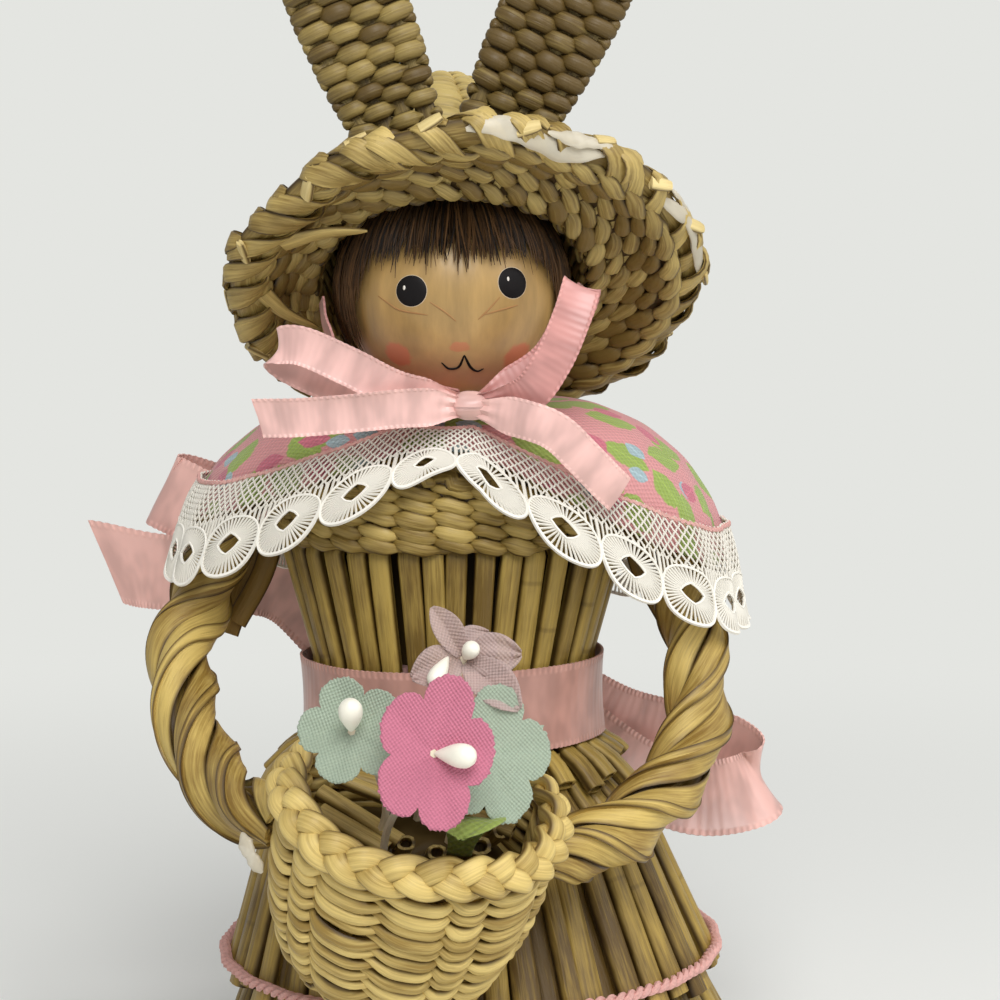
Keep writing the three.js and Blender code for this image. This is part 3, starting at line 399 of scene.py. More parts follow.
def straw_finish(name, light, dark, knots=1.0):
    """Straw between two colours, with a soft natural gloss."""
    material, tree, shader = new_finish(name)
    grain = place_group(tree, straw_grain, {"Light": paint(*light), "Dark": paint(*dark), "Knots": knots})
    look = {"Base Color": grain["Color"], "Roughness": grain["Roughness"], "Specular IOR Level": 0.42}
    fill(tree, shader.inputs, look)
    bump(tree, shader, grain["Height"], 0.12)
    return material


skirt_straw = straw_finish("skirt straw", (178, 149, 73), (92, 69, 24), 0.25)
bodice_straw = straw_finish("bodice straw", (176, 149, 75), (108, 84, 31), 0.3)
basket_straw = straw_finish("basket straw", (230, 203, 126), (156, 127, 60), 0.0)
arm_straw = straw_finish("arm straw", (212, 184, 105), (136, 106, 45), 0.0)
rim_straw = straw_finish("rim straw", (206, 180, 110), (126, 102, 48), 0.0)
hat_straw = straw_finish("hat straw", (206, 182, 112), (124, 100, 48), 0.0)
ear_straw = straw_finish("ear straw", (168, 146, 85), (92, 72, 31), 0.0)
yoke_straw = straw_finish("yoke straw", (196, 170, 99), (124, 100, 43), 0.0)
cut_straw = straw_finish("cut straw", (230, 208, 146), (190, 164, 98), 0.0)
# Core straw is straw darkened as painted shade, for what lies deep inside the bodice and the basket.
shaded_core_straw = straw_finish("shaded core straw", (120, 98, 52), (66, 50, 21))
print("straw finishes made")

# %% Cloth weave, ribbon and mottle groups
def make_cloth_weave():
    """Plain weave on (across, along): two crossed waves of thread, each over where the other is under."""
    tree, given, out = new_group(
        "Cloth weave", [("Threads", "Float", 3.0)], [("Height", "Float"), ("Shade", "Float")]
    )
    across, along, _ = strand_marks(tree)
    turns = maths(tree, "MULTIPLY", given["Threads"], pi)
    x, y = (maths(tree, "SINE", maths(tree, "MULTIPLY", place, turns)) for place in (across, along))
    height = maths(tree, "MULTIPLY_ADD", maths(tree, "MULTIPLY", x, y), 0.5, 0.5)
    fuzz = noise(tree, vector(tree, across, along), 6.0, 3.0)
    # Painted shade: the colour darkens where the weave is low, between the threads.
    shade = maths(tree, "MULTIPLY_ADD", fuzz, 0.24, 0.74)
    fill(tree, out, {
        "Height": maths(tree, "MULTIPLY_ADD", fuzz, 0.4, height),
        "Shade": maths(tree, "MULTIPLY_ADD", height, 0.22, shade),
    })
    return tree


def make_ribbon_satin():
    """Ribbon on (across, along): fine ribs over the width, a stitched edge where across nears the half
    width, and slow patches that lighten the colour as a painted sheen."""
    tree, given, out = new_group(
        "Ribbon satin",
        [("Half width", "Float", 2.1), ("Ribs", "Float", 1.4)],
        [("Height", "Float"), ("Shade", "Float"), ("Edge", "Float")],
    )
    across, along, shade = strand_marks(tree)
    rib = maths(tree, "SINE", maths(tree, "MULTIPLY", along, maths(tree, "MULTIPLY", given["Ribs"], TAU)))
    near = maths(tree, "DIVIDE", maths(tree, "ABSOLUTE", across), given["Half width"])
    edge = stretch(tree, near, 0.8, 0.9)
    stitch = maths(tree, "MULTIPLY_ADD", maths(tree, "SINE", maths(tree, "MULTIPLY", along, 9.5)), 0.5, 0.5)
    cloud = noise(tree, vector(tree, maths(tree, "MULTIPLY", across, 0.5), along, shade), 0.35, 2.0)
    sewn = maths(tree, "MULTIPLY", edge, stitch)
    # Painted sheen: slow patches lighten and darken the colour, for the glints of satin.
    sheen = stretch(tree, cloud, 0.34, 0.66, 0.78, 1.06)
    fill(tree, out, {
        "Height": maths(tree, "MULTIPLY_ADD", rib, 0.12, sewn),
        "Shade": maths(tree, "MULTIPLY_ADD", sewn, 0.2, sheen),
        "Edge": edge,
    })
    return tree


def make_mottle():
    """A colour darkened and lightened by slow noise in the object's own space, in millimetres."""
    tree, given, out = new_group(
        "Mottle",
        [("Color", "Color", (1, 1, 1, 1)), ("Amount", "Float", 0.2), ("Grain", "Vector", (1, 1, 1))],
        [("Color", "Color"), ("Height", "Float")],
    )
    place = node(tree, "TexCoord").outputs["Object"]
    scaled = node(tree, "VectorMath", {0: place, 1: given["Grain"]}, operation="MULTIPLY").outputs[0]
    cloud = noise(tree, scaled, 1 / MM, 4.0, 0.55)
    shade = maths(tree, "MULTIPLY_ADD", maths(tree, "SUBTRACT", cloud, 0.5), given["Amount"], 1.0)
    fill(tree, out, {"Color": multiply(tree, given["Color"], shade), "Height": cloud})
    return tree


cloth_weave, ribbon_satin, mottle = make_cloth_weave(), make_ribbon_satin(), make_mottle()


def satin_finish(name, color, half_width, ribs, roughness):
    """Satin ribbon: a smooth face with some sheen, partly painted in, and dull stitched edges."""
    material, tree, shader = new_finish(name)
    satin = place_group(tree, ribbon_satin, {"Half width": half_width, "Ribs": ribs})
    fill(tree, shader.inputs, {
        "Base Color": multiply(tree, paint(*color), satin["Shade"]),
        "Roughness": maths(tree, "MULTIPLY_ADD", satin["Edge"], 0.25, roughness),
        "Sheen Weight": 0.25,
        "Sheen Roughness": 0.4,
        "Specular IOR Level": 0.55,
    })
    bump(tree, shader, satin["Height"], 0.07)
    return material


def cloth_finish(name, color, threads, see_through=0.0):
    """Plain-woven cloth of one dyed colour."""
    material, tree, shader = new_finish(name)
    weave = place_group(tree, cloth_weave, {"Threads": threads})
    color = multiply(tree, paint(*color), weave["Shade"])
    look = {"Base Color": color, "Roughness": 0.7, "Sheen Weight": 0.2, "Alpha": 1 - see_through}
    fill(tree, shader.inputs, look)
    bump(tree, shader, weave["Height"], 0.12)
    return material


def plain_finish(name, color, roughness, amount, grain=(0.6, 0.6, 0.6), relief=0.05, **others):
    """One mottled colour, for paint, glue, thread and wire. Other inputs come by name."""
    material, tree, shader = new_finish(name)
    spots = place_group(tree, mottle, {"Color": paint(*color), "Amount": amount, "Grain": grain})
    fill(tree, shader.inputs, {"Base Color": spots["Color"], "Roughness": roughness, **others})
    bump(tree, shader, spots["Height"], relief)
    return material


def lace_finish():
    """White cotton thread: the corded outlines are bright, and the thin fillings greyer."""
    material, tree, shader = new_finish("lace thread")
    shade = strand_marks(tree)[2]
    color = blend(tree, shade, paint(196, 190, 176), paint(244, 240, 230))
    fill(tree, shader.inputs, {"Base Color": color, "Roughness": 0.75})
    return material


NARROW, WIDE = 4.3 / 2, 9.5 / 2
NARROW_RIBBON, WIDE_RIBBON = (NARROW, 1.25, 0.34), (WIDE, 0.9, 0.32)
lace_thread = lace_finish()
shaded_satin = satin_finish("shaded satin", (208, 148, 142), *NARROW_RIBBON)
# The sash band is the bow's ribbon made darker: painted shade for the band round the waist.
shaded_sash_satin = satin_finish("shaded sash satin", (196, 148, 136), *WIDE_RIBBON)
narrow_satin = satin_finish("narrow satin", (240, 194, 186), *NARROW_RIBBON)
wide_satin = satin_finish("wide satin", (226, 178, 168), *WIDE_RIBBON)
pink_thread = plain_finish("pink thread", (216, 166, 158), 0.85, 0.7, (2.5, 2.5, 2.5), 0.12)
pink_cloth = cloth_finish("pink cloth", (204, 118, 142), 4.4)
mint_cloth = cloth_finish("mint cloth", (176, 192, 170), 4.4, 0.15)
lilac_cloth = cloth_finish("lilac cloth", (212, 186, 180), 4.4, 0.36)
leaf_cloth = cloth_finish("leaf cloth", (140, 158, 70), 2.2)
stamen_finish = plain_finish("cream stamen", (250, 246, 230), 0.4, 0.12)
wire_finish = plain_finish("wrapped wire", (226, 214, 190), 0.6, 0.2)
glue_finish = plain_finish("dried glue", (226, 217, 196), 0.35, 0.2, Alpha=0.68)
print("cloth, ribbon and small finishes made")

# %% [markdown]
# ## Skirt
# The real skirt is two layers of straws tied at the waist. Each straw is a flattened tube with its own
# width, shade and small lean, cut off with a hollow end. A displaced cone would look like ribbing, so
# every straw is its own tube. Each layer has a second row behind, half a step round, that closes the gaps
# as the skirt widens.

# %% Skirt straws
SKIRT_TOP_Z, SKIRT_HIP_Z, SKIRT_HEM_Z, FLOOR_GAP = 45.5, 40.6, 19.5, 0.65
WAIST_HALF, HIP_HALF, HEM_HALF, INNER_HEM_HALF, FLOOR_HALF = 17.4, 22, 29.8, 27.1, 36
SKIRT_LEAN, WAIST_FLATNESS, LAYER_STEP, TUCKED_IN = 4.3, 4.4, 2.7, 1.5
SKIRT_STRAW_WIDE, SKIRT_STRAW_DEEP = (1.25, 1.66), (0.8, 1.05)


def over_half_width(z):
    """Half-width of the over layer by height, as straight lines between hem, hip and waist."""
    return np.interp(z, [SKIRT_HEM_Z, SKIRT_HIP_Z, SKIRT_TOP_Z], [HEM_HALF, HIP_HALF, WAIST_HALF])


def under_half_width(z):
    """The under layer: the over layer less one straw, widening to the floor below the hem."""
    below_hem = np.interp(z, [0, SKIRT_HEM_Z], [FLOOR_HALF, INNER_HEM_HALF])
    return np.where(z < SKIRT_HEM_Z, below_hem, over_half_width(z) - LAYER_STEP)


def skirt_oval(turn, half, z):
    """The skirt's oval by height: flatter at the waist, and drifting sideways below it."""
    lean = SKIRT_LEAN * (1 - z / SKIRT_TOP_Z)
    flat = WAIST_FLATNESS * z / SKIRT_TOP_Z
    return np.stack([lean + half * sin(turn), -(half - flat) * cos(turn), z], -1)


def skirt_row(seed, z_end, half_width, inset, turn, ragged, tone, count=46, steps=26):
    """Straws of one row: lines down the skirt's oval, from the waist to a cut end."""
    rng = np.random.default_rng(seed)
    angle = (np.arange(count) + turn + rng.uniform(-0.2, 0.2, count)) * TAU / count
    end = z_end + rng.uniform(0, ragged, count)
    z = np.linspace(SKIRT_TOP_Z + TUCKED_IN, end, steps).T
    sway = rng.uniform(-0.05, 0.05, (count, 1)) * np.linspace(0, 1, steps)
    half = half_width(z) - inset - rng.uniform(0, 0.35, (count, 1))
    a = angle[:, None] + sway
    widening = np.interp(z, [0, SKIRT_HEM_Z, SKIRT_TOP_Z], [1.12, 1.08, 0.72])
    wide = rng.uniform(*SKIRT_STRAW_WIDE, (count, 1)) * widening
    size = halves(wide, rng.uniform(*SKIRT_STRAW_DEEP, (count, 1)))
    tint = rng.uniform(*tone, count)
    return sweep(skirt_oval(a, half, z), oval(a, 1, 1, 0), STRAW_OUTLINE, size, tint, hollow=True)


# The inner rows take darker tints: painted shade for the straws seen in the gaps behind the outer ones.
OUTER, INNER = (0, 1), (-0.6, 0.2)
over = joined(
    skirt_row(1, SKIRT_HEM_Z, over_half_width, 1.0, 0, 1.3, OUTER),
    skirt_row(2, SKIRT_HEM_Z + 1, over_half_width, 2.4, 0.5, 1.3, INNER),
)
under = joined(
    skirt_row(3, FLOOR_GAP, under_half_width, 1.1, 0, 0.3, OUTER),
    skirt_row(4, FLOOR_GAP, under_half_width, 2.4, 0.5, 0.3, INNER),
)
add_piece("skirt_over_straws", over, skirt_straw, ["skirt_over_layer"])
add_piece("skirt_under_straws", under, skirt_straw, ["skirt_under_layer"])

# %% [markdown]
# ## Cord round the skirt
# A pink cord of two twisted plies is tied round the straws. Each ply is a helix about the line of the
# cord.

# %% Twisted cord
CORD_Z, CORD_TWIST, PLY_RADIUS = 22.5, 0.33, 0.4


def twisted_cord(turns=64, steps=1400):
    """Two plies: the skirt's oval plus a small circle that turns round it, the plies half a turn apart."""
    a = from_behind(steps)
    z = CORD_Z + 0.5 * sin(a - 0.4)
    half = over_half_width(z) + 0.3 + 0.12 * sin(23 * a)
    out = oval(a, 1, 1, 0)
    spin = turns * a[None] + np.array([[0], [pi]])
    ply = out * cos(spin)[..., None] + np.array([0, 0, 1]) * sin(spin)[..., None]
    paths = skirt_oval(a, half, z) + CORD_TWIST * ply
    return sweep(paths, out, ROUND_OUTLINE, PLY_RADIUS, [0.2, 0.8], closed=True)


add_piece("skirt_cord_plies", twisted_cord(), pink_thread, ["skirt_cord"])

# %% [markdown]
# ## Bodice
# Upright straws run from under the yoke to the waist and end in a short uneven frill below the sash. The
# same straw maker is used, on a path that narrows at the waist and flares again.

# %% Bodice straws
SASH_LOW, SASH_HIGH, YOKE_LOW = 47.8, 57.3, 71.0
WAIST_WIDE, WAIST_DEEP, BODICE_WALL = 16.9, 12.6, 1.2
BODICE_HEIGHTS = [43, 45.8, SASH_LOW, SASH_HIGH, YOKE_LOW - 0.6]
BODICE_WIDE = [23.2, 20.4, WAIST_WIDE, WAIST_WIDE, 20.5]
BODICE_DEEP = [19.0, 16.0, WAIST_DEEP, WAIST_DEEP, 13.5]


def bodice_straws(seed, count, turn, steps=34):
    """Straws spaced evenly round the bodice's oval, whose half sizes go by height."""
    rng = np.random.default_rng(seed)
    fine = np.linspace(0, TAU, 721)
    arc = np.cumsum(np.hypot(18.0 * cos(fine), WAIST_DEEP * sin(fine)))
    spaced = (np.arange(count) + turn + rng.uniform(-0.08, 0.08, count)) / count
    angle = np.interp(spaced * arc[-1], arc, fine)
    top = YOKE_LOW + 0.2 + rng.uniform(-0.5, 0.5, count)
    low = 44.4 - 2.2 * rng.uniform(0, 1, count) ** 2 + 1.2 * rng.uniform(0, 1, count)
    z = np.linspace(low, top, steps).T
    wide = np.interp(z, BODICE_HEIGHTS, BODICE_WIDE) - BODICE_WALL
    deep = np.interp(z, BODICE_HEIGHTS, BODICE_DEEP) - BODICE_WALL
    tuck = 0.9 * ramp(z, YOKE_LOW - 0.8, YOKE_LOW + 0.6)
    sway = rng.uniform(-0.015, 0.015, (count, 1)) * sin(np.linspace(0, pi, steps))
    a = angle[:, None] + sway
    reach = rng.uniform(-0.25, 0.2, (count, 1)) - tuck
    paths = oval(a, wide + reach, deep + reach, z)
    swell = np.interp(z, [43, SASH_LOW, SASH_HIGH, YOKE_LOW], [1.1, 0.9, 0.9, 1.0])
    size = halves(rng.uniform(1.16, 1.36, (count, 1)) * swell, 0.85)
    return sweep(paths, oval(a, 1, 1, 0), superoval(12, 0.6), size, rng.uniform(0, 1, count), hollow=True)


bodice = bodice_straws(11, 35, 0.35)
add_piece("bodice_straw_row", bodice, bodice_straw, ["bodice_straws"])
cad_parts["torso_core"].data.materials[0] = shaded_core_straw
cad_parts["waist_binding"].data.materials[0] = pink_thread

# %% [markdown]
# ## Weaving
# Yoke, bonnet and basket are twined: two flat straws go round together, one over and one behind each
# stake, and cross between the stakes. On a surface with a turn and a depth, each weft is a wave off the
# surface with a small wave down it. The wefts are wide where they ride over a stake and narrow where they
# dive, which gives the leaf-shaped floats.

# %% Twined weave on any surface
SLIM_OUTLINE, OVAL_OUTLINE = superoval(8, 0.8), superoval(8, 1)


def surface_frame(surface, turn, depth):
    """Points of a surface and the direction off it: down the surface crossed with round it."""
    step = 1e-3
    along = surface(turn + step, depth) - surface(turn - step, depth)
    down = surface(turn, depth + step) - surface(turn, depth - step)
    return surface(turn, depth), unit(np.cross(down, along))


FLOAT_SQUARENESS = 1.6


def twined(
    surface, stakes, depths, seed, width=0.6, lift=0.55, slant=0.2, thick=0.4, sag=0.0,
    per_stake=10, uneven=0.12, tone=(0, 1),
):
    """Wefts on a closed surface, two to a row. Off the surface: lift * cos(stakes * turn / 2 + pi * ply),
    squared off so that a float lies flat and then dives. Down the surface: slant * sin of the same, plus
    a sag in the middle of each float. The seam is behind."""
    rng = np.random.default_rng(seed)
    depths = np.asarray(depths, float)
    rows = len(depths)
    row = np.repeat(np.arange(rows), 2)
    pitch = abs(np.gradient(depths))[row][:, None]
    ply = np.tile([0, 1], rows)[:, None]
    turn = from_behind(stakes * per_stake)[None]
    phase = stakes * turn / 2 + pi * ply
    bent = turn + uneven * TAU / stakes * sin(5 * turn + 1.3) + 0 * phase
    wander = sin(turn * rng.integers(2, 6, (2 * rows, 1)) + rng.uniform(0, TAU, (2 * rows, 1)))
    each = rng.normal(0, 1, (2 * rows, stakes)).repeat(per_stake, 1)
    soft = sum(np.roll(each, k, 1) for k in range(per_stake)) / per_stake
    over = np.tanh(FLOAT_SQUARENESS * cos(phase)) / np.tanh(FLOAT_SQUARENESS)
    drop = slant * sin(phase) + sag * ramp(cos(phase), -0.2, 1) + 0.07 * wander + 0.06 * soft
    points, out = surface_frame(surface, bent, depths[row][:, None] + pitch * drop)
    paths = points + out * (lift * over + 0.07 * soft)[..., None]
    swell = 0.62 + 0.38 * ramp(abs(cos(phase)), 0, 0.8)
    half = pitch * width * swell * (1 + 0.1 * soft)
    return sweep(paths, out, OVAL_OUTLINE, halves(half, thick), rng.uniform(*tone, 2 * rows), closed=True)


def stake_strips(surface, stakes, low, high, half, thick, seed, steps=14):
    """Upright stakes of a weave: flat strips down the surface."""
    rng = np.random.default_rng(seed)
    turn = round_angles(stakes)[:, None] + np.zeros((1, steps))
    points, out = surface_frame(surface, turn, np.linspace(low, high, steps)[None] + 0 * turn)
    return sweep(points, out, SLIM_OUTLINE, (half, thick), rng.uniform(0, 1, stakes))


def shade_sheet(surface, low, high, half, rows=24, columns=120):
    """A thin closed sheet behind the holes between the wefts, darkened all over as painted shade."""
    turn, depth = np.meshgrid(from_behind(columns), np.linspace(low, high, rows), indexing="ij")
    points, out = surface_frame(surface, turn, depth)
    section = np.concatenate([points + half * out, (points - half * out)[:, ::-1]], 1)
    marks = np.zeros((columns * 2 * rows, 4))
    # Every point counts as an edge, so the whole sheet takes the painted shade.
    marks[:, 3] = 1
    return section.reshape(-1, 3), tube_faces(1, columns, 2 * rows, True), marks


# %% Yoke
YOKE_PROFILE = np.array([  # depth down from the collar, half-width, half-depth, height
    [0, 4.4, 4.4, 84.9],
    [10, 14.6, 10.1, 82.4],
    [17.6, 20.2, 13.3, 78.9],
    [26, 20.2, 13.3, 70.9],
    [28, 20.2, 13.3, 68.9],
])
YOKE_STAKES, YOKE_ROWS = 32, 16


def yoke_surface(turn, depth):
    """Oval by depth: half-width, half-depth and height are read off the yoke's outline."""
    wide, deep, z = (np.interp(depth, YOKE_PROFILE[:, 0], YOKE_PROFILE[:, k]) for k in (1, 2, 3))
    return oval(turn, wide, deep, z)


yoke_rows = np.linspace(1.5, 25.2, YOKE_ROWS)
yoke = joined(
    twined(yoke_surface, YOKE_STAKES, yoke_rows, 21, width=0.56, lift=0.7, slant=0.24, thick=0.52),
    stake_strips(yoke_surface, YOKE_STAKES, 0.5, 25.6, 0.95, 0.3, 22),
    shade_sheet(yoke_surface, 0.8, 25.0, 0.15),
)
add_piece("yoke_wefts", yoke, yoke_straw, ["yoke_weave"])

# %% [markdown]
# ## Head
# A turned ball of pale wood with a painted face. The ball is a grid of turn and height angles. Those two
# angles are also stored on it, so the soft cheeks and the nose can be painted by angle in the finish,
# while the eyes and the mouth have crisp edges and are thin raised patches of paint.

# %% Ball and its finish
HEAD_RADIUS = 12.5
HEAD = np.array([0.0, 0.0, 99.0])
CHEEKS_AND_NOSE = [  # turn, rise, reach in degrees, flatness, colour
    (-33.0, -31.0, 7.6, 1.0, (226, 128, 98)),
    (45.0, -33.0, 8.6, 1.0, (216, 116, 86)),
    (5.4, -25.4, 5.2, 1.7, (206, 128, 92)),
]


def on_ball(turn, rise, radius=HEAD_RADIUS):
    """Point of a ball by turn from the front and rise over the middle, both in degrees."""
    t, r = radians(turn), radians(rise)
    return HEAD + radius * np.stack([cos(r) * sin(t), -cos(r) * cos(t), sin(r)], -1)


def wood_with_cheeks():
    """Wood streaked along the grain, paler towards the chin as painted light, with soft discs of colour by
    their angle from a middle on the ball.
    """
    material, tree, shader = new_finish("painted wood")
    streaks = {"Color": paint(174, 140, 84), "Amount": 1.1, "Grain": (0.5, 0.5, 0.09)}
    grain = place_group(tree, mottle, streaks)
    color = grain["Color"]
    turn, rise, _ = strand_marks(tree)
    # Painted light: the lower face is blended towards a pale tone, for light thrown up from the cloth below.
    color = blend(tree, stretch(tree, rise, -10.0, -50.0, 0.0, 0.6), color, paint(240, 198, 152))
    soft = noise(tree, node(tree, "TexCoord").outputs["Object"], 1.4 / MM, 3.0)
    for at_turn, at_rise, reach, flatness, tone in CHEEKS_AND_NOSE:
        narrowing = cos(radians(at_rise))
        across = maths(tree, "MULTIPLY", maths(tree, "SUBTRACT", turn, at_turn), narrowing)
        upright = maths(tree, "MULTIPLY", maths(tree, "SUBTRACT", rise, at_rise), flatness)
        squares = [maths(tree, "POWER", value, 2.0) for value in (across, upright)]
        away = maths(tree, "SQRT", maths(tree, "ADD", *squares))
        away = maths(tree, "MULTIPLY_ADD", maths(tree, "SUBTRACT", soft, 0.5), 4.0, away)
        share = stretch(tree, away, reach * 0.8, reach * 1.15, 0.75, 0.0)
        color = blend(tree, share, color, paint(*tone))
    look = {"Base Color": color, "Roughness": 0.42, "Coat Weight": 0.25, "Coat Roughness": 0.3}
    fill(tree, shader.inputs, look)
    bump(tree, shader, grain["Height"], 0.08)
    return material


BALL_ROWS, BALL_COLUMNS, LAST_RISE = 72, 120, 74
ball_turns = np.linspace(-180, 180, BALL_COLUMNS, endpoint=False)
turn_grid, rise_grid = np.meshgrid(ball_turns, np.linspace(LAST_RISE, -LAST_RISE, BALL_ROWS))
ball_turn = np.append(turn_grid, [0, 0])
ball_rise = np.append(rise_grid, [90, -90])
ball = (
    on_ball(ball_turn, ball_rise),
    dome_faces(BALL_ROWS, BALL_COLUMNS, inside_out=True),
    np.stack([ball_turn, ball_rise, 0 * ball_turn], -1),
)
add_piece("head_ball", ball, wood_with_cheeks(), ["head"])
peg_wood = plain_finish("peg wood", (196, 160, 108), 0.55, 0.4, (0.5, 0.5, 0.06))
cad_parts["neck_peg"].data.materials[0] = peg_wood

# %% Painted eyes and mouth
black_paint = plain_finish("black paint", (20, 17, 18), 0.5, 0.1, **{"Specular IOR Level": 0.15})
white_paint = plain_finish("white paint", (232, 226, 216), 0.4, 0.1)
rim_paint = plain_finish("rim paint", (206, 188, 162), 0.5, 0.2)
brown_paint = plain_finish("brown paint", (166, 122, 74), 0.6, 0.2)


def paint_patch(turn, rise, half_wide, half_high, lift, tilt=0.0, rings=8, sides=32):
    """A domed oval: drawn in the plane that touches the ball, then moved to the ball's radius plus lift."""
    centre = on_ball(np.array(turn), np.array(rise))
    north = unit(on_ball(np.array(turn), np.array(rise + 1.0)) - centre)
    out = unit(centre - HEAD)
    east = np.cross(north, out)
    share, angle = np.meshgrid(np.linspace(0.04, 1, rings), round_angles(sides), indexing="ij")
    x = half_wide * share * cos(angle)
    y = half_high * share * sin(angle)
    c, s = cos(radians(tilt)), sin(radians(tilt))
    flat = centre + (c * x - s * y)[..., None] * east + (s * x + c * y)[..., None] * north
    high = HEAD_RADIUS + lift * (1 - share**4) - 0.05 * share**8
    points = HEAD + unit(flat - HEAD) * high[..., None]
    points = np.concatenate([points.reshape(-1, 3), [HEAD + out * (HEAD_RADIUS + lift)]])
    return points, dome_faces(rings, sides, tips=1, inside_out=True), np.zeros((len(points), 3))


def brush_strokes(strokes, radius, steps=24):
    """Strokes of paint: round outlines along lines that lie on the ball, thin at both ends."""
    lines = [smooth_path(np.c_[line, np.zeros(len(line))], steps) for line in strokes]
    paths = np.stack([on_ball(line[:, 0], line[:, 1], HEAD_RADIUS + 0.02) for line in lines])
    thin = radius * (0.35 + 0.65 * sin(np.linspace(0, pi, steps)) ** 0.5)
    return sweep(paths, unit(paths - HEAD), ROUND_OUTLINE, halves(thin, 0.7 * thin))


EYES = [(-20.1, 3.9, 2.0, 1.9, 8), (34.0, 7.6, 2.05, 1.9, -6)]  # turn, rise, half sizes, tilt
GLINTS, EYE_RIM = [(-23.7, 5.4), (31.0, 9.7)], 0.13
rims = [paint_patch(t, r, wide + EYE_RIM, high + EYE_RIM, 0.05, tilt) for t, r, wide, high, tilt in EYES]
pupils = [paint_patch(t, r, wide, high, 0.13, tilt) for t, r, wide, high, tilt in EYES]
glints = [paint_patch(t, r, 0.2, 0.34, 0.19) for t, r in GLINTS]
MOUTH = [
    [(-5.6, -35.0), (-1.1, -39.1), (5.3, -37.9), (8.2, -30.3)],
    [(8.2, -30.3), (12.9, -38.0), (18.2, -41.2), (22.4, -39.5)],
]
LINES = [
    [(-39.9, 0.8), (-33.4, -2.5), (-26.4, -5.9), (-11.3, -8.1)],
    [(-10.1, -1.5), (-2.5, -6.5), (3.2, -11.3)],
    [(26.1, 0.7), (17.1, -8.2), (14.5, -10.5)],
    [(17.1, -8.2), (24.6, -6.3), (36.9, -3.7)],
]
add_piece("eye_whites", joined(*rims), rim_paint)
add_piece("eye_glints", joined(*glints), white_paint)
add_piece("eye_pupils", joined(*pupils), black_paint)
add_piece("mouth_strokes", brush_strokes(MOUTH, 0.16), black_paint)
eye_lines = joined(*[brush_strokes([line], 0.1) for line in LINES])
add_piece("eye_strokes", eye_lines, brown_paint)

# %% [markdown]
# ## Hair
# Brown fibre is glued round the ball under the bonnet and cut to a fringe. A thin cap gives the mass, and
# many fine tapered strands give the ragged cut edge.

# %% Hair finish
def hair_finish():
    """Brown fibre: each strand has its own shade, from nearly black to chestnut."""
    material, tree, shader = new_finish("brown fibre")
    _, along, shade = strand_marks(tree)
    uneven = noise(tree, vector(tree, shade, maths(tree, "MULTIPLY", along, 0.4)), 3.0)
    tone = maths(tree, "MULTIPLY", shade, maths(tree, "ADD", uneven, 0.5))
    tone = maths(tree, "ADD", tone, stretch(tree, along, 9.0, 15.0, 0.0, 0.4))
    color = blend(tree, tone, paint(14, 8, 4), paint(90, 63, 36))
    fill(tree, shader.inputs, {"Base Color": color, "Roughness": 0.55, "Specular IOR Level": 0.2})
    bump(tree, shader, uneven, 0.05)
    return material


# %% Hair cap and strands
HAIR_RADIUS, HAIR_INSIDE, HAIR_STRANDS = 13.2, HEAD_RADIUS + 0.1, 1700


def hair_edge(turn):
    """Angle from the crown where the hair is cut, by turn: a fringe, longer beside and behind."""
    side = abs(turn - 6)
    return 66 + 43 * ramp(side, 46, 66) + 14 * ramp(side, 95, 180)


def hair_cap():
    """A ball of slightly larger radius, cut off well above the hair's edge, with its own inner side."""
    rows, columns = 16, 96
    turns = np.linspace(-180, 180, columns, endpoint=False)
    turn, share = np.meshgrid(turns, np.linspace(0.02, 1, rows))
    front = ramp(abs(turn), 100, 60)
    rise = 90 - hair_edge(turn) * share * (0.94 - 0.26 * front + 0.04 * sin(0.9 * turn) * front)
    outer = on_ball(turn, rise, HAIR_RADIUS)
    inner = on_ball(turn, rise, HAIR_INSIDE)[::-1]
    poles = on_ball(np.zeros(2), np.full(2, 90.0), np.array([[HAIR_RADIUS], [HAIR_INSIDE]]))
    points = np.concatenate([outer.reshape(-1, 3), inner.reshape(-1, 3), poles])
    return points, dome_faces(2 * rows, columns, inside_out=True), np.full((len(points), 3), 0.15)


def hair_strands(seed, count, steps=8):
    """Strands in locks: from near the crown to the cut edge, swaying and tapering to a point."""
    rng = np.random.default_rng(seed)
    turn = rng.uniform(-118, 132, count)
    turn = turn + 1.6 * sin(radians(turn) * 40)
    lock = np.round(turn / 5.0)
    own = sin(lock * 12.9898) * 43758.5453 % 1.0
    end = hair_edge(turn) + 6.0 * (own - 0.5) + rng.normal(0.0, 4.4, count)
    share = np.linspace(0, 1, steps)
    rise = 90 - (28 + (end[:, None] - 28) * share)
    sway = turn[:, None] + (rng.normal(0, 2.2, (count, 1)) + 5 * (own[:, None] - 0.5)) * share**2
    lift = rng.uniform(-0.3, 0.5, (count, 1)) * sin(pi * (0.15 + 0.8 * share))
    paths = on_ball(sway, rise, (HAIR_RADIUS + 0.1 + lift)[..., None])
    thick = rng.uniform(0.06, 0.13, (count, 1)) * (1 - 0.75 * share**3)
    size = halves(1.4 * thick, thick)
    return sweep(paths, unit(paths - HEAD), superoval(4, 1), size, rng.uniform(0, 1, count) ** 1.6)


hair = joined(hair_cap(), hair_strands(31, HAIR_STRANDS))
add_piece("hair_fibre", hair, hair_finish(), ["hair"])

# %% [markdown]
# ## Bonnet
# The bonnet is one surface from the top of the crown to the edge of the brim, leaned back on the head. It
# is twined like the basket. Its edge is rolled: broad straws are laid slantwise round a core, with pale
# cut ends between them, and the maker left smears of glue on it.

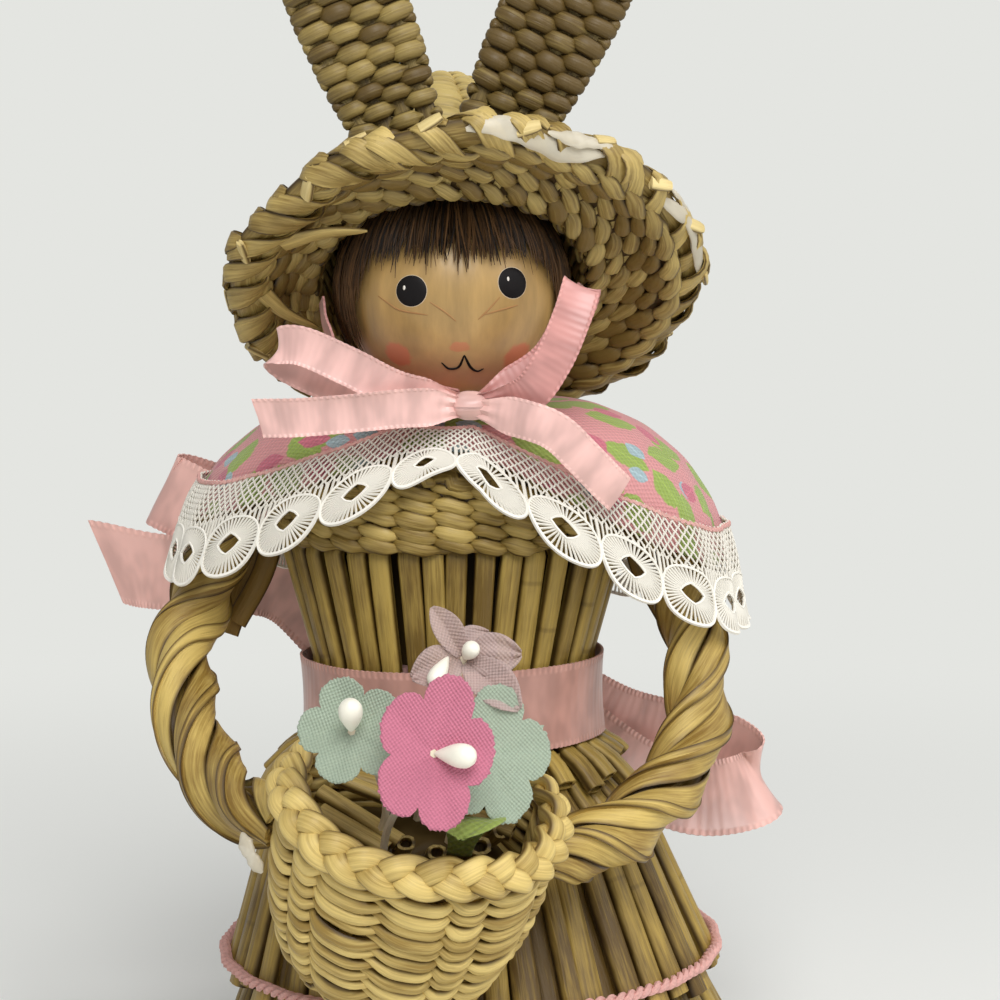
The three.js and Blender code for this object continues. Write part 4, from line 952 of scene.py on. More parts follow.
# %% Bonnet surface and weave
HAT_TILT, HAT_ROLL = radians(42.9), radians(3.7)
CROWN_RADIUS, CROWN_HEIGHT, CROWN_DRIFT = 15.7, 22.2, 8.6
BRIM_RISE, BRIM_WIDTH, BRIM_SHIFT, BRIM_SIDE = 0.9, 4.8, 1.5, 1.7


def turned(x, y, z):
    """A direction of the bonnet: leaned back, then rolled."""
    tilt_cos, tilt_sin = cos(HAT_TILT), sin(HAT_TILT)
    roll_cos, roll_sin = cos(HAT_ROLL), sin(HAT_ROLL)
    y, z = y * tilt_cos + z * tilt_sin, -y * tilt_sin + z * tilt_cos
    x, z = x * roll_cos - z * roll_sin, x * roll_sin + z * roll_cos
    return np.array([x, y, z])


HAT_ACROSS, HAT_FRONT, HAT_AXIS = turned(1, 0, 0), turned(0, -1, 0), turned(0, 0, 1)
crown_polar = np.linspace(0, np.arccos(BRIM_RISE / CROWN_HEIGHT), 300)
crown_arc = np.hypot(CROWN_RADIUS * cos(crown_polar), CROWN_HEIGHT * sin(crown_polar))
crown_run = np.cumsum(crown_arc) * (crown_polar[1] - crown_polar[0])
CROWN_END = crown_run[-1]
HAT_END = CROWN_END + BRIM_WIDTH


def hat_point(turn, radius, rise, share):
    """A point of the bonnet by turn from the front. The share says how much of the brim's drift it has."""
    across = radius * sin(turn) + share * BRIM_SIDE
    front = radius * cos(turn) + share * BRIM_SHIFT
    level = HEAD + across[..., None] * HAT_ACROSS + front[..., None] * HAT_FRONT
    return level + (rise + 0 * turn)[..., None] * HAT_AXIS


def hat_surface(turn, depth):
    """Depth in millimetres from the top: an oval arc that drifts forward with height, then out along the
    brim, and past the brim's edge on under the rim."""
    polar = np.interp(depth, crown_run, crown_polar)
    out = np.maximum(depth - CROWN_END, 0)
    share = np.clip(out / BRIM_WIDTH, 0, 1)
    radius = CROWN_RADIUS * sin(polar) + out
    under_rim = 1.9 * ramp(out, BRIM_WIDTH - 1, BRIM_WIDTH + 3)
    rise = CROWN_HEIGHT * cos(polar) + 0.4 * sin(pi * share) - under_rim
    drift = CROWN_DRIFT * cos(polar) ** 2 + 0 * turn
    return hat_point(turn, radius, rise, share) + drift[..., None] * HAT_FRONT


crown_rows = np.arange(1.3, CROWN_END - 1.6, 1.75)
brim_rows = np.arange(CROWN_END - 0.9, HAT_END + 3.8, 1.7)
CROWN_STAKES, BRIM_STAKES = 18, 38
# The crown takes lighter tints and the brim darker: painted light on the crown, painted shade in the brim.
CROWN_LOOK = {"width": 0.58, "lift": 0.6, "slant": 0.22, "thick": 0.5, "tone": (0.8, 1.3)}
BRIM_LOOK = {"width": 0.62, "lift": 0.5, "slant": 0.3, "thick": 0.5, "tone": (-0.5, 0.5), "per_stake": 8}
hat = joined(
    twined(hat_surface, CROWN_STAKES, crown_rows, 41, **CROWN_LOOK),
    twined(hat_surface, BRIM_STAKES, brim_rows, 44, **BRIM_LOOK),
    shade_sheet(hat_surface, 1.5, HAT_END + 3.2, 0.15, rows=40),
    stake_strips(hat_surface, CROWN_STAKES, 2.0, CROWN_END, 0.9, 0.3, 42, steps=24),
    stake_strips(hat_surface, BRIM_STAKES, CROWN_END - 2, HAT_END + 1, 0.6, 0.3, 45, steps=8),
)
add_piece("hat_wefts", hat, hat_straw, ["hat"])

# %% Rolled rim of the bonnet
RIM_MIDDLE, RIM_RISE, RIM_WIDE, RIM_HIGH = 24.46, 0.1, 2.5, 1.3


def rim_point(turn, around, swell):
    """A point about the rim by turn, and by angle around its section from the outer edge. The rim dips on
    the left."""
    dip = 0.9 * sin(turn - 0.35)
    wave = 0.35 * sin(9 * turn) + 0.3 * sin(4 * turn + 1)
    radius = RIM_MIDDLE + wave + swell * RIM_WIDE * cos(around)
    return hat_point(turn, radius, RIM_RISE + dip + swell * RIM_HIGH * sin(around), 1.0)


def off_rim(turn, around, swell):
    """The direction away from the middle of the rim's section."""
    return unit(rim_point(turn, around, swell + 0.1) - rim_point(turn, around, swell - 0.1))


def rim_strips(seed, first, last, count=34, steps=14, span=17.0):
    """Broad flat straws laid slantwise round the rim. Each goes along it by the span while it goes round
    the section from the first angle to the last, rises over its neighbour in the middle and sinks under
    the next at both ends."""
    rng = np.random.default_rng(seed)
    share = np.linspace(0, 1, steps)[None]
    start = (np.arange(count) + rng.uniform(-0.25, 0.25, count))[:, None] * TAU / count
    reach = radians(span * rng.uniform(0.8, 1.25, (count, 1)))
    turn = pi + start + (share - 0.5) * reach
    around = radians(first + (last - first) * share + rng.uniform(-16, 16, (count, 1)))
    swell = 0.8 + (0.34 + rng.uniform(-0.05, 0.14, (count, 1))) * sin(pi * share) ** 0.8
    half = rng.uniform(1.15, 1.6, (count, 1)) * (0.35 + 0.65 * sin(pi * share) ** 0.7)
    paths = rim_point(turn, around, swell)
    out = off_rim(turn, around, swell)
    return sweep(paths, out, superoval(8, 0.6), halves(half, 0.3), rng.uniform(0, 1, count))


def rim_core(steps=300):
    """The bundle that the strips are laid round: a closed oval tube."""
    turn = from_behind(steps)[None]
    paths = rim_point(turn, 0 * turn, 0.0)
    size = (0.86 * RIM_WIDE, 0.86 * RIM_HIGH)
    return sweep(paths, HAT_AXIS, superoval(12, 1), size, 0.1, closed=True)


STUB_TURNS = radians([-88, -66, -38, -22, -4, 18, 38, 57, 76, 96, 122, 148, 176, 205, 232, 254])


def cut_stubs(seed):
    """Short pale cut ends of straw that lie on the rim at a slant, with their ends in the light."""
    rng = np.random.default_rng(seed)
    count = len(STUB_TURNS)
    around = radians(rng.uniform(-50, 60, count))
    foot = rim_point(STUB_TURNS - 0.06, around - 0.5, np.full(count, 1.0))
    tip = rim_point(STUB_TURNS + 0.03, around, rng.uniform(1.14, 1.28, count))
    share = np.linspace(0, 1, 6)[None, :, None]
    paths = foot[:, None] * (1 - share) + tip[:, None] * share
    out = off_rim(STUB_TURNS, around, np.full(count, 1.1))
    half = rng.uniform(0.65, 1.0, (count, 1)) * np.array([[1, 1, 1, 0.97, 0.9, 0.7]])
    size = halves(half, 0.45 * half + 0.1)
    return sweep(paths, out[:, None], superoval(10, 0.8), size, rng.uniform(0.5, 1, count))


LOOSE_STRAWS = [  # turns in degrees, distances from the bonnet's axis, and rises over the brim
    ([-62, -50, -38], [22.5, 19.8, 16.6], [-1.4, -2.2, -2.6]),
    ([-84, -92, -101], [23.0, 20.6, 17.6], [-1.6, -2.2, -2.4]),
]


def loose_ends():
    """Two pointed straws on the left that have come out of the weave and lie inside the brim."""
    paths = []
    for turn, away, rise in LOOSE_STRAWS:
        stops = hat_point(radians(turn), np.array(away), np.array(rise), 1.0)
        paths.append(smooth_path(stops, 14))
    point = np.linspace(1, 0, 14) ** 0.6
    size = halves(0.15 + 1.05 * point, 0.12 + 0.35 * point)
    return sweep(np.stack(paths), -HAT_AXIS, STRAW_OUTLINE, size, [0.7, 0.4])


rim = joined(rim_core(), rim_strips(46, 20, -190), rim_strips(47, 200, -10), loose_ends())
add_piece("hat_rim_strips", rim, rim_straw, ["hat_rim"])
add_piece("hat_rim_ends", cut_stubs(43), cut_straw)

# %% Smears of glue
def glue_smear(seed, line, out, half_wide, half_deep):
    """A smear of glue: an oval along a line that swells by slow waves and closes at both ends."""
    rng = np.random.default_rng(seed)
    share = np.linspace(0, 1, len(line))
    swell = sin(pi * np.clip(share, 0.01, 0.99)) ** 0.45
    swell = swell * (0.85 + 0.15 * sin(share * 11 + rng.uniform(0, 6)) + 0.06 * sin(share * 31))
    return sweep(line, out, superoval(14, 1), halves(half_wide * swell, half_deep * swell))


def rim_smear(seed, start, end, around, swell, half_wide, half_deep):
    """A smear that follows the rim between two turns, at an angle round its section."""
    turn = radians(np.linspace(start, end, 40))
    angle = radians(around) + 0.25 * sin(11 * turn)
    line = rim_point(turn, angle, swell + 0.06 * sin(17 * turn))
    return glue_smear(seed, line, off_rim(turn, angle, swell), half_wide, half_deep)


glue = joined(
    rim_smear(51, 3, 38, -58, 1.12, 1.5, 0.5),
    rim_smear(52, 22, 40, -22, 1.1, 1.0, 0.42),
    rim_smear(53, 60, 92, -45, 1.08, 1.2, 0.5),
    rim_smear(54, 62, 82, 15, 1.05, 0.9, 0.42),
)
add_piece("rim_glue", glue, glue_finish)
hand_line = smooth_path([(-21.2, -36.6, 45.4), (-20.4, -37.6, 43.6), (-19.0, -38.4, 41.6)], 24)
hand_glue = glue_smear(55, hand_line, (-0.6, -0.8, 0.1), 1.1, 0.55)
add_piece("hand_glue", hand_glue, glue_finish)

# %% [markdown]
# ## Ears
# Each ear is a flat blade of plain weave: every row of straw passes round the blade and rides over every
# second stake, and the next row rides over the others. That gives the plump kernels of the real ears.

# %% Woven ears
EAR_LENGTH, EAR_WIDTH, EAR_COLUMNS = 36.0, 13.4, 4
EAR_FOOT_RADIUS, EAR_FOOT_RISE, BRIM_TOP, SLOPE_SHARE = 18.86, 3.6, 2.3, 0.22
EAR_PLACES, EAR_WIDTHS = [0, 0.1, 0.3, 0.5, 0.7, 0.9, 1], [0.66, 0.77, 0.93, 1, 0.98, 0.74, 0.3]


def ear(seed, spread, lean, nudge, tone, rows=31, steps=112):
    """Rows round a blade. Across: half-width * cosine. Off the blade: half the thickness, plus a wave
    over the stakes. The lowest rows slope with the brim that they stand on."""
    rng = np.random.default_rng(seed)
    spread, lean = radians(spread), radians(lean)
    base = hat_point(np.array(spread), np.array(EAR_FOOT_RADIUS), EAR_FOOT_RISE, 0.5)
    base = base + np.array([nudge, 0, 0])
    up = unit(np.array([sin(lean), 0.06, cos(lean)]))
    side = np.array([cos(lean), 0, -sin(lean)])
    face = unit(np.cross(side, up))
    share = (np.arange(rows) + 0.3) / rows
    width = np.interp(share, EAR_PLACES, EAR_WIDTHS) * EAR_WIDTH / 2 - 0.6
    turn = round_angles(steps)
    across = -width[:, None] * cos(turn)
    column = (across / width[:, None] + 1) * EAR_COLUMNS / 2
    wave = cos(pi * (column - 0.5) + pi * np.arange(rows)[:, None])
    front = np.sign(sin(turn)) * abs(sin(turn)) ** 0.5
    off = 0.5 * front + 0.66 * wave * abs(sin(turn)) ** 0.7

    def foot(spots):
        """How far down the blade's own direction the brim lies, by place across the blade."""
        above = ((base - HEAD) @ HAT_AXIS - BRIM_TOP) + spots * (side @ HAT_AXIS)
        return above / (up @ HAT_AXIS)

    rise = share[:, None] * EAR_LENGTH * 0.985 - foot(across) * (1 - ramp(share, 0, SLOPE_SHARE))[:, None]
    rise = rise + rng.normal(0, 0.1, (rows, 1)) + 0.08 * sin(3 * turn + rng.uniform(0, 6, (rows, 1)))
    paths = base + across[..., None] * side + off[..., None] * face + rise[..., None] * up
    out = unit(sin(turn)[:, None] * face - 0.6 * cos(turn)[:, None] * side)
    shown = ramp(wave * np.sign(sin(turn)), -0.7, 0.6)
    half = 1.02 * (0.42 + 0.58 * shown) * rng.uniform(0.9, 1.1, (rows, 1))
    size = halves(half, 0.42 + 0.25 * shown)
    wefts = sweep(paths, out, superoval(10, 1), size, rng.uniform(*tone, rows), closed=True)
    columns = (np.arange(EAR_COLUMNS) + 0.5) / EAR_COLUMNS * 2 - 1
    height = np.linspace(0.0, EAR_LENGTH - 1.0, 20)
    spot = columns[:, None] * np.interp(height / EAR_LENGTH, share, width)
    lower = height - foot(spot) * (1 - ramp(height / EAR_LENGTH, 0, SLOPE_SHARE))
    stakes = base + spot[..., None] * side + lower[..., None] * up
    strips = sweep(stakes, face, SLIM_OUTLINE, (1.1, 0.45), rng.uniform(0, 1, EAR_COLUMNS))
    return joined(wefts, strips)


# The right ear takes darker tints than the left: painted shade for the ear that stands in shadow.
left_ear = ear(61, -16.4, -21.6, 1.1, (-0.45, 0.7))
right_ear = ear(62, 18.2, 26.3, -1.3, (-1.1, 0.2))
add_piece("ear_left_weave", left_ear, ear_straw, ["ear_left"])
add_piece("ear_right_weave", right_ear, ear_straw, ["ear_right"])

# %% [markdown]
# ## Satin ribbons
# A ribbon is a thin flat outline carried along a path, with its width turned by given directions. Its
# edge has tiny stitched loops, so the half-width ripples along it. Loops are one path that goes out and
# comes back.

# %% Ribbon maker
RIBBON_THICK, RIBBON_STEP, LOOP_PERIOD, RIBBON_COLUMNS = 0.13, 0.16, 0.7, 11


def flat_outline(columns):
    """Closed outline of a flat strip: once over its width below, and back above."""
    x = np.linspace(-1, 1, columns)
    return np.concatenate([halves(x, -1.0), halves(x[::-1], 1.0)])


def ribbon(points, widths, half_width, slant=0.0, cup=0.12, pinch=(0, 0)):
    """Flat outline along a smooth path. Half-width ripples with the stitched loops, the middle is cupped
    off the path, and the end is cut at a slant: the last points move along the path in proportion to
    their place across. Where it leaves a knot it is pinched to a share of its width and gathered into
    small pleats."""
    rough = smooth_path(points, 200)
    length = np.linalg.norm(np.diff(rough, axis=0), axis=1).sum()
    steps = int(length / RIBBON_STEP)
    path = smooth_path(points, steps)
    along = unit(np.gradient(path, axis=0))
    side = in_between(widths, steps)
    side = unit(side - (side * along).sum(1, keepdims=True) * along)
    face = np.cross(along, side)
    outline = flat_outline(RIBBON_COLUMNS)
    place, layer = outline[:, 0], outline[:, 1]
    run = np.linspace(0, length, steps)
    gather = 1.4 * half_width + 2
    tight = pinch[0] * ramp(run, gather, 0) + pinch[1] * ramp(length - run, gather, 0)
    half = half_width * (0.975 + 0.025 * abs(sin(pi * run / LOOP_PERIOD))) * (1 - tight)
    a = half[:, None] * place
    b = RIBBON_THICK * layer * (0.75 + 0.25 * abs(place) ** 8) + cup * half_width * (1 - place**2)
    b = b + 0.2 * half_width * tight[:, None] * cos(2.5 * pi * place)
    shift = slant / 2 * place * ramp(np.linspace(0, 1, steps), 1 - 3 / steps**0.5, 1)[:, None]
    rows = path[:, None] + a[..., None] * side[:, None] + b[..., None] * face[:, None]
    rows = rows + shift[..., None] * along[:, None]
    marks = np.stack([a, run[:, None] + 0 * a, np.full_like(a, 0.5)], -1)
    faces = tube_faces(1, steps, len(outline), False)
    flat = np.concatenate([rows.reshape(-1, 3), rows[:1].mean(1), rows[-1:].mean(1)])
    marks = np.concatenate([marks.reshape(-1, 3), marks[:1].mean(1), marks[-1:].mean(1)])
    return flat, faces, marks


def knot_wrap(centre, half, turns, seed, width):
    """A knot: a ribbon wound round a bean. The bean is a squared oval of the given half sizes, and the
    creases of the turns show on it."""
    rng = np.random.default_rng(seed)
    rows, columns = 30, 40
    shares = np.linspace(0.03, 0.97, rows)
    polar, angle = np.meshgrid(shares * pi, round_angles(columns), indexing="ij")
    crease = 1 + 0.05 * sin(turns * angle + 2.5 * cos(polar) + rng.uniform(0, 6)) * sin(polar)
    x = -half[0] * np.sign(cos(polar)) * abs(cos(polar)) ** 0.8
    y = -half[1] * sin(polar) ** 0.6 * cos(angle) * crease
    z = half[2] * sin(polar) ** 0.6 * sin(angle) * crease
    points = np.asarray(centre) + np.stack([x, y, z], -1)
    marks = np.stack([(polar / pi - 0.5) * 2 * width, angle * half[2], 0 * angle], -1).reshape(-1, 3)
    points = np.concatenate([points.reshape(-1, 3), [points[0].mean(0), points[-1].mean(0)]])
    return points, dome_faces(rows, columns), np.concatenate([marks, np.zeros((2, 3))])


# %% Bow under the chin and its straps
KNOT = np.array([2.2, -14.7, 87.5])
UPRIGHT = [(0.2, 0, 1), (0.35, 0, 1), (0.4, 0, 1), (0.35, 0, 1)]
SLANTED = [(0.6, 0, -0.8), (0.85, 0, -0.5), (0.95, 0, -0.3), (0.8, 0, -0.6)]
LEVEL = [(0, 0, 1), (0, -0.2, 1), (0, -0.1, 1)]
BEND = [(0, 0, 1), (0.35, 0, 1), (0.75, 0, 0.65)]
LOOP, TAIL = (0.5, 0.5), (0.5, 0)
NECK_RIBBONS = {
    "neck_bow_loop_left": (
        [(-1.0, -0.4, 0.3), (-7.6, -2.2, 1.8), (-13, -1.9, 4.4), (-18.4, -0.6, 6.6),
         (-21.2, 1, 6.2), (-19.6, 2.4, 4.2), (-13, 2.5, 1.6), (-1, 0.6, 0)], UPRIGHT, 0, LOOP),
    "neck_bow_loop_right": (
        [(1.0, -0.4, 0.3), (6, -1.9, 1.2), (9, -2.2, 5), (11.1, -1.3, 9.8),
         (12.2, 0.3, 13.2), (11.6, 1.6, 10.6), (8.4, 1.6, 4.6), (1, 0.6, 0.2)], SLANTED, 0, LOOP),
    "neck_bow_tail_left": (
        [(-0.6, -0.6, -0.1), (-6.6, -3.7, 0.1), (-12.4, -4.1, -0.4),
         (-18.2, -3.8, -0.9), (-23, -2.8, -1.1)], LEVEL, 1, TAIL),
    "neck_bow_tail_right": (
        [(0.6, -0.6, -0.2), (6.2, -3.8, -1.2), (9.4, -4, -2.5),
         (12.1, -3.2, -5.1), (14.8, -2, -8), (16.4, -1.2, -9.6)], BEND, -1, TAIL),
}
for name, (points, widths, slant, pinch) in NECK_RIBBONS.items():
    shape = ribbon(KNOT + np.array(points), widths, NARROW, slant, pinch=pinch)
    satin = shaded_satin if name == "neck_bow_loop_right" else narrow_satin
    add_piece(name + "_ribbon", shape, satin, [name])
KNOT_HALF = (1.9, 1.7, 1.55)
knot = knot_wrap(KNOT, KNOT_HALF, 4, 71, NARROW)
add_piece("neck_bow_knot_ribbon", knot, narrow_satin, ["neck_bow_knot"])
STRAP_RADIUS = 15.0
for name, way, top_rise in (("chin_strap_left", -1, -2.7), ("chin_strap_right", 1, 3.8)):
    stops = [(80, top_rise, STRAP_RADIUS), (76, -16, STRAP_RADIUS), (60, -38, STRAP_RADIUS + 0.4)]
    line = [on_ball(np.array(way * t), np.array(float(r)), reach) for t, r, reach in stops]
    line = np.array(line + [KNOT + np.array([way * 0.9, 1.6, 0.6])])
    across = unit(np.cross(np.gradient(line, axis=0), line - HEAD))
    strap = ribbon(line, across, NARROW, cup=0.0, pinch=(0, 0.3))
    add_piece(name + "_ribbon", strap, shaded_satin, [name])

# %% [markdown]
# ## Shawl
# A cape of printed cotton lies round the shoulders. It is one grid: turn round the neck, and share of the
# way from collar to hem, with a hem that rises in front. The flat size comes from the grid itself. The
# print is a plain design of leaves and buds: each cell of a Voronoi pattern holds one leaf, turned by the
# cell's own random value.

# %% Shawl surface
SHOULDER, NECK_Z, SHAWL_LENGTH, COLLAR, TURNING = 29.1, 85.5, 31.0, 8.0, 2.6
FRONT_REACH, LEFT_DROP, RIGHT_DROP, BACK_REACH = 0.39, 0.36, 0.55, 0.9
LAST_SHARE, EASE_STEPS = 1.45, 10
SHAWL_PROFILE = np.array([  # share, half-width, half-depth, height over the collar
    [0, 7, 6.6, 1.1],
    [0.2, 0.54 * SHOULDER, 10.8, 1.1],
    [0.4, 0.76 * SHOULDER, 13.6, -1.6],
    [0.6, 0.92 * SHOULDER, 15.7, -5.6],
    [0.8, SHOULDER + 0.8, 16.8, -10.5],
    [1.0, SHOULDER + 2.6, 17.7, -16.5],
    [LAST_SHARE, SHOULDER + 4.6, 18.9, -30],
])
FINE_SHARES = np.linspace(0, LAST_SHARE, 146)


def eased(column):
    """One column of the outline by share, smoothed with a bell-shaped weight."""
    bell = np.exp(-np.linspace(-2, 2, 2 * EASE_STEPS + 1) ** 2)
    fine = np.interp(FINE_SHARES, SHAWL_PROFILE[:, 0], column)
    padded = np.pad(fine, EASE_STEPS, mode="reflect", reflect_type="odd")
    return np.convolve(padded, bell / bell.sum(), "valid")


FINE_PROFILE = [eased(column) for column in SHAWL_PROFILE.T[1:]]


def shawl_surface(turn, share):
    """Oval by share of the way down, with nine standing folds that grow towards the hem."""
    wide, deep, height = (np.interp(share, FINE_SHARES, row) for row in FINE_PROFILE)
    fold = 0.7 * share**2 * (0.5 - 0.5 * cos(9 * turn)) + 0.25 * share**2 * sin(23 * turn + 4 * share)
    return oval(turn, wide + fold, deep + fold, NECK_Z + height)


def shawl_hem(turn):
    """Share at which the lace is sewn on: short in front, longer at each side by its own amount, and even
    behind."""
    turn = (turn + pi) % TAU - pi
    side = np.degrees(abs(turn))
    left = LEFT_DROP * sin(pi / 2 * np.clip((side - 14) / 62, 0, 1))
    right = RIGHT_DROP * sin(pi / 2 * np.clip((side - 7) / 70, 0, 1))
    front = FRONT_REACH + np.where(turn < 0, left, right)
    return front + (BACK_REACH - front) * ramp(side, 122, 172)


SHAWL_ROWS, SHAWL_COLUMNS = 44, 240


def shawl_grid():
    """The cloth between collar and hem, as one grid with flat coordinates in millimetres."""
    turn, way = np.meshgrid(from_behind(SHAWL_COLUMNS), np.linspace(0, 1, SHAWL_ROWS))
    share = way * (shawl_hem(turn) + TURNING / SHAWL_LENGTH)
    reach = COLLAR + SHAWL_LENGTH * share
    marks = np.stack([reach * sin(turn), reach * cos(turn), 0 * turn], -1)
    return shawl_surface(turn, share), marks.reshape(-1, 3)


# %% Printed cotton
COTTON_PINK = (214, 148, 148)
MOTIFS = [  # cells to the millimetre, length, width, colour, share of the cells left empty
    (0.15, 3.3, 2.3, (150, 172, 84), 0.0),
    (0.19, 1.5, 1.3, (160, 182, 188), 0.66),
    (0.17, 2.1, 1.5, (200, 112, 128), 0.6),
]


def printed_cotton():
    """Pink cotton with a tossed print. A cell's own coordinates are turned by its random angle, and a
    leaf is where the sum of (x / length) squared and |y| / width is under 1. Some cells hold a small
    round bud instead."""
    material, tree, shader = new_finish("printed cotton")
    weave = place_group(tree, cloth_weave, {"Threads": 2.4})
    marks = node(tree, "Attribute", attribute_name="strand").outputs["Vector"]
    color = paint(*COTTON_PINK)
    for order, (scale, length, width, tone, empty) in enumerate(MOTIFS):
        apart = (order * 31.7, order * 17.3, 0.0)
        moved = node(tree, "VectorMath", {0: marks, 1: apart}, operation="ADD").outputs[0]
        values = {"Vector": moved, "Scale": scale, "Randomness": 0.85}
        cell = node(tree, "TexVoronoi", values, voronoi_dimensions="2D")
        between = {0: moved, 1: cell.outputs["Position"]}
        local = node(tree, "VectorMath", between, operation="SUBTRACT").outputs[0]
        random = node(tree, "SeparateColor", {"Color": cell.outputs["Color"]}).outputs
        angle = maths(tree, "MULTIPLY", random[0], TAU)
        turned_by = {"Vector": local, "Angle": angle}
        spun = node(tree, "VectorRotate", turned_by, rotation_type="Z_AXIS").outputs[0]
        x, y, _ = node(tree, "SeparateXYZ", {"Vector": spun}).outputs
        ragged = noise(tree, moved, 0.9, 2.0)
        body = maths(tree, "POWER", maths(tree, "DIVIDE", x, length), 2.0)
        body = maths(tree, "ADD", body, maths(tree, "DIVIDE", maths(tree, "ABSOLUTE", y), width))
        body = maths(tree, "MULTIPLY_ADD", maths(tree, "SUBTRACT", ragged, 0.5), 0.5, body)
        leaf = stretch(tree, body, 0.86, 1.0, 1.0, 0.0)
        leaf = maths(tree, "MULTIPLY", leaf, maths(tree, "GREATER_THAN", random[1], empty))
        vein = stretch(tree, maths(tree, "ABSOLUTE", y), 0.05, 0.2, 0.25, 0.0)
        drawn = blend(tree, vein, paint(*tone), paint(*[min(255, int(c * 1.3)) for c in tone]))
        color = blend(tree, leaf, color, drawn)
    color = multiply(tree, color, weave["Shade"])
    fill(tree, shader.inputs, {"Base Color": color, "Roughness": 0.8, "Sheen Weight": 0.2})
    bump(tree, shader, weave["Height"], 0.12)
    return material


shawl_points, shawl_marks = shawl_grid()
shawl_faces = [rows[:, ::-1] for rows in grid_faces(SHAWL_ROWS, SHAWL_COLUMNS, closed=True)]
shawl_shape = (shawl_points.reshape(-1, 3), shawl_faces, shawl_marks)
shawl = add_piece("shawl_cloth", shawl_shape, printed_cotton(), ["shawl"], 180)
thickness = shawl.modifiers.new("thickness", "SOLIDIFY")
thickness.thickness, thickness.offset = 0.35 * MM, -1

# %% [markdown]
# ## Lace
# Bought lace is thread, so it is built from thread: a net of waves that touch, then scallops, each with a
# corded outline, a rounded eyelet and close bars between them. All of it is drawn flat, as distance round
# the hem and distance past the hem, and then laid on the shawl's own surface carried past its hem.

# %% Lace threads
SCALLOPS, NET_START, NET_END, NET_THREAD, BAR_THREAD = 24, -1.3, 3.8, 0.12, 0.145
REPEAT = TAU / SCALLOPS
SHELL_REACH, SHELL_HALF, SHELL_SHARE = 7.5, 3.3, 0.49


def lay_lace(turn, reach, lift):
    """A flat point of the lace on the shawl: turn round it, reach in millimetres past the seam, and lift
    off the cloth. It is gathered up in the middle of the front."""
    away = np.degrees((turn + pi) % TAU - pi) + 1.5
    gathered = 1 - 0.42 * np.exp(-((away / 10) ** 2))
    points, out = surface_frame(shawl_surface, turn, shawl_hem(turn) + reach * gathered / SHAWL_LENGTH)
    return points + out * lift, out


def threads(turn, reach, lift, half, closed=False, tint=1.0):
    """Round threads along many flat lines at once."""
    points, out = lay_lace(turn, reach, lift)
    half = np.broadcast_to(half, turn.shape)
    return sweep(points, out, superoval(5, 1), halves(half, half), tint, closed=closed)


def lace_net(rows=9, cells=176):
    """Rows of waves: each is a cosine of the turn and the mirror of the last, so they leave open cells."""
    steps = cells * 6
    turn = from_behind(steps) + np.zeros((rows, 1))
    middle = np.linspace(NET_START, NET_END, rows)[:, None]
    mirror = (-1.0) ** np.arange(rows)[:, None]
    waves = middle + 0.33 * mirror * cos(cells * turn)
    return threads(turn, waves, 0.75, NET_THREAD, closed=True, tint=0.6)


def shell_curve(share):
    """Outline of one shell, walked once round: an oval of half a repeat by a half height."""
    angle = TAU * share
    return SHELL_SHARE * REPEAT * cos(angle), SHELL_REACH + SHELL_HALF * sin(angle)


def eyelet_curve(share):
    """Rounded diamond, walked once round: a circle divided by the sum of |x| and |y| to a power under 1."""
    angle = TAU * share
    x, y = cos(angle), sin(angle)
    size = 1 / (abs(x) + abs(y)) ** 0.6
    return 0.18 * REPEAT * x * size, SHELL_REACH - 0.3 + 1.25 * y * size


def lace_scallops(bars=44, ties=13):
    """Every shell: a corded outline that is thick below, an eyelet, close threads that fan from one to
    the other, and short ties from the net down to the shell's upper side."""
    middle = 0.026 + (np.arange(SCALLOPS) + 0.5)[:, None] * REPEAT
    round_once = np.arange(48) / 48
    across, reach = shell_curve(round_once)
    thick = 0.15 + 0.09 * ramp(sin(TAU * round_once), -0.4, 0.5)
    cord = threads(middle + across, reach + 0 * middle, 0.82, thick + 0 * middle, closed=True)
    across, reach = eyelet_curve(np.arange(24) / 24)
    eye = threads(middle + across, reach + 0 * middle, 0.8, 0.16, closed=True)
    fan = (np.arange(bars) + 0.5) / bars
    (low_x, low_y), (start_x, start_y) = shell_curve(fan), eyelet_curve(fan)
    way = np.linspace(0, 1, 4)
    bar_x = start_x[:, None] * (1 - way) + low_x[:, None] * way
    bar_y = start_y[:, None] * (1 - way) + low_y[:, None] * way
    tie_x = np.linspace(-SHELL_SHARE, SHELL_SHARE, ties)[:, None] + 0 * way
    top = SHELL_REACH - SHELL_HALF * np.sqrt(np.clip(1 - (tie_x / SHELL_SHARE) ** 2, 0, 1))
    tie_y = NET_END * (1 - way) + top * way
    bar_x, bar_y = np.concatenate([bar_x, tie_x * REPEAT]), np.concatenate([bar_y, tie_y])
    flat_x = (middle[:, :, None] + bar_x).reshape(-1, 4)
    flat_y = (0 * middle[:, :, None] + bar_y).reshape(-1, 4)
    fans = threads(flat_x, flat_y, 0.74, BAR_THREAD, tint=0.6)
    return joined(cord, eye, fans)


def hem_stitches():
    """The line of pink stitches that holds the lace: a cord that ripples along the edge of the cloth."""
    turn = from_behind(900)
    return threads(turn[None], (NET_START + 0.12 * sin(240 * turn))[None], 0.85, 0.22, closed=True)


lace = add_piece("lace_threads", joined(lace_net(), lace_scallops()), lace_thread, ["lace_trim"])
stitches = add_piece("hem_stitches", hem_stitches(), pink_thread)

# %% [markdown]
# ## Arms
# Three thick strands of straw are laid up like a rope, from each shoulder down to the basket. Each strand
# is itself a bundle, with two broad flat straws outside, so each straw is a strip that goes round with
# its strand.

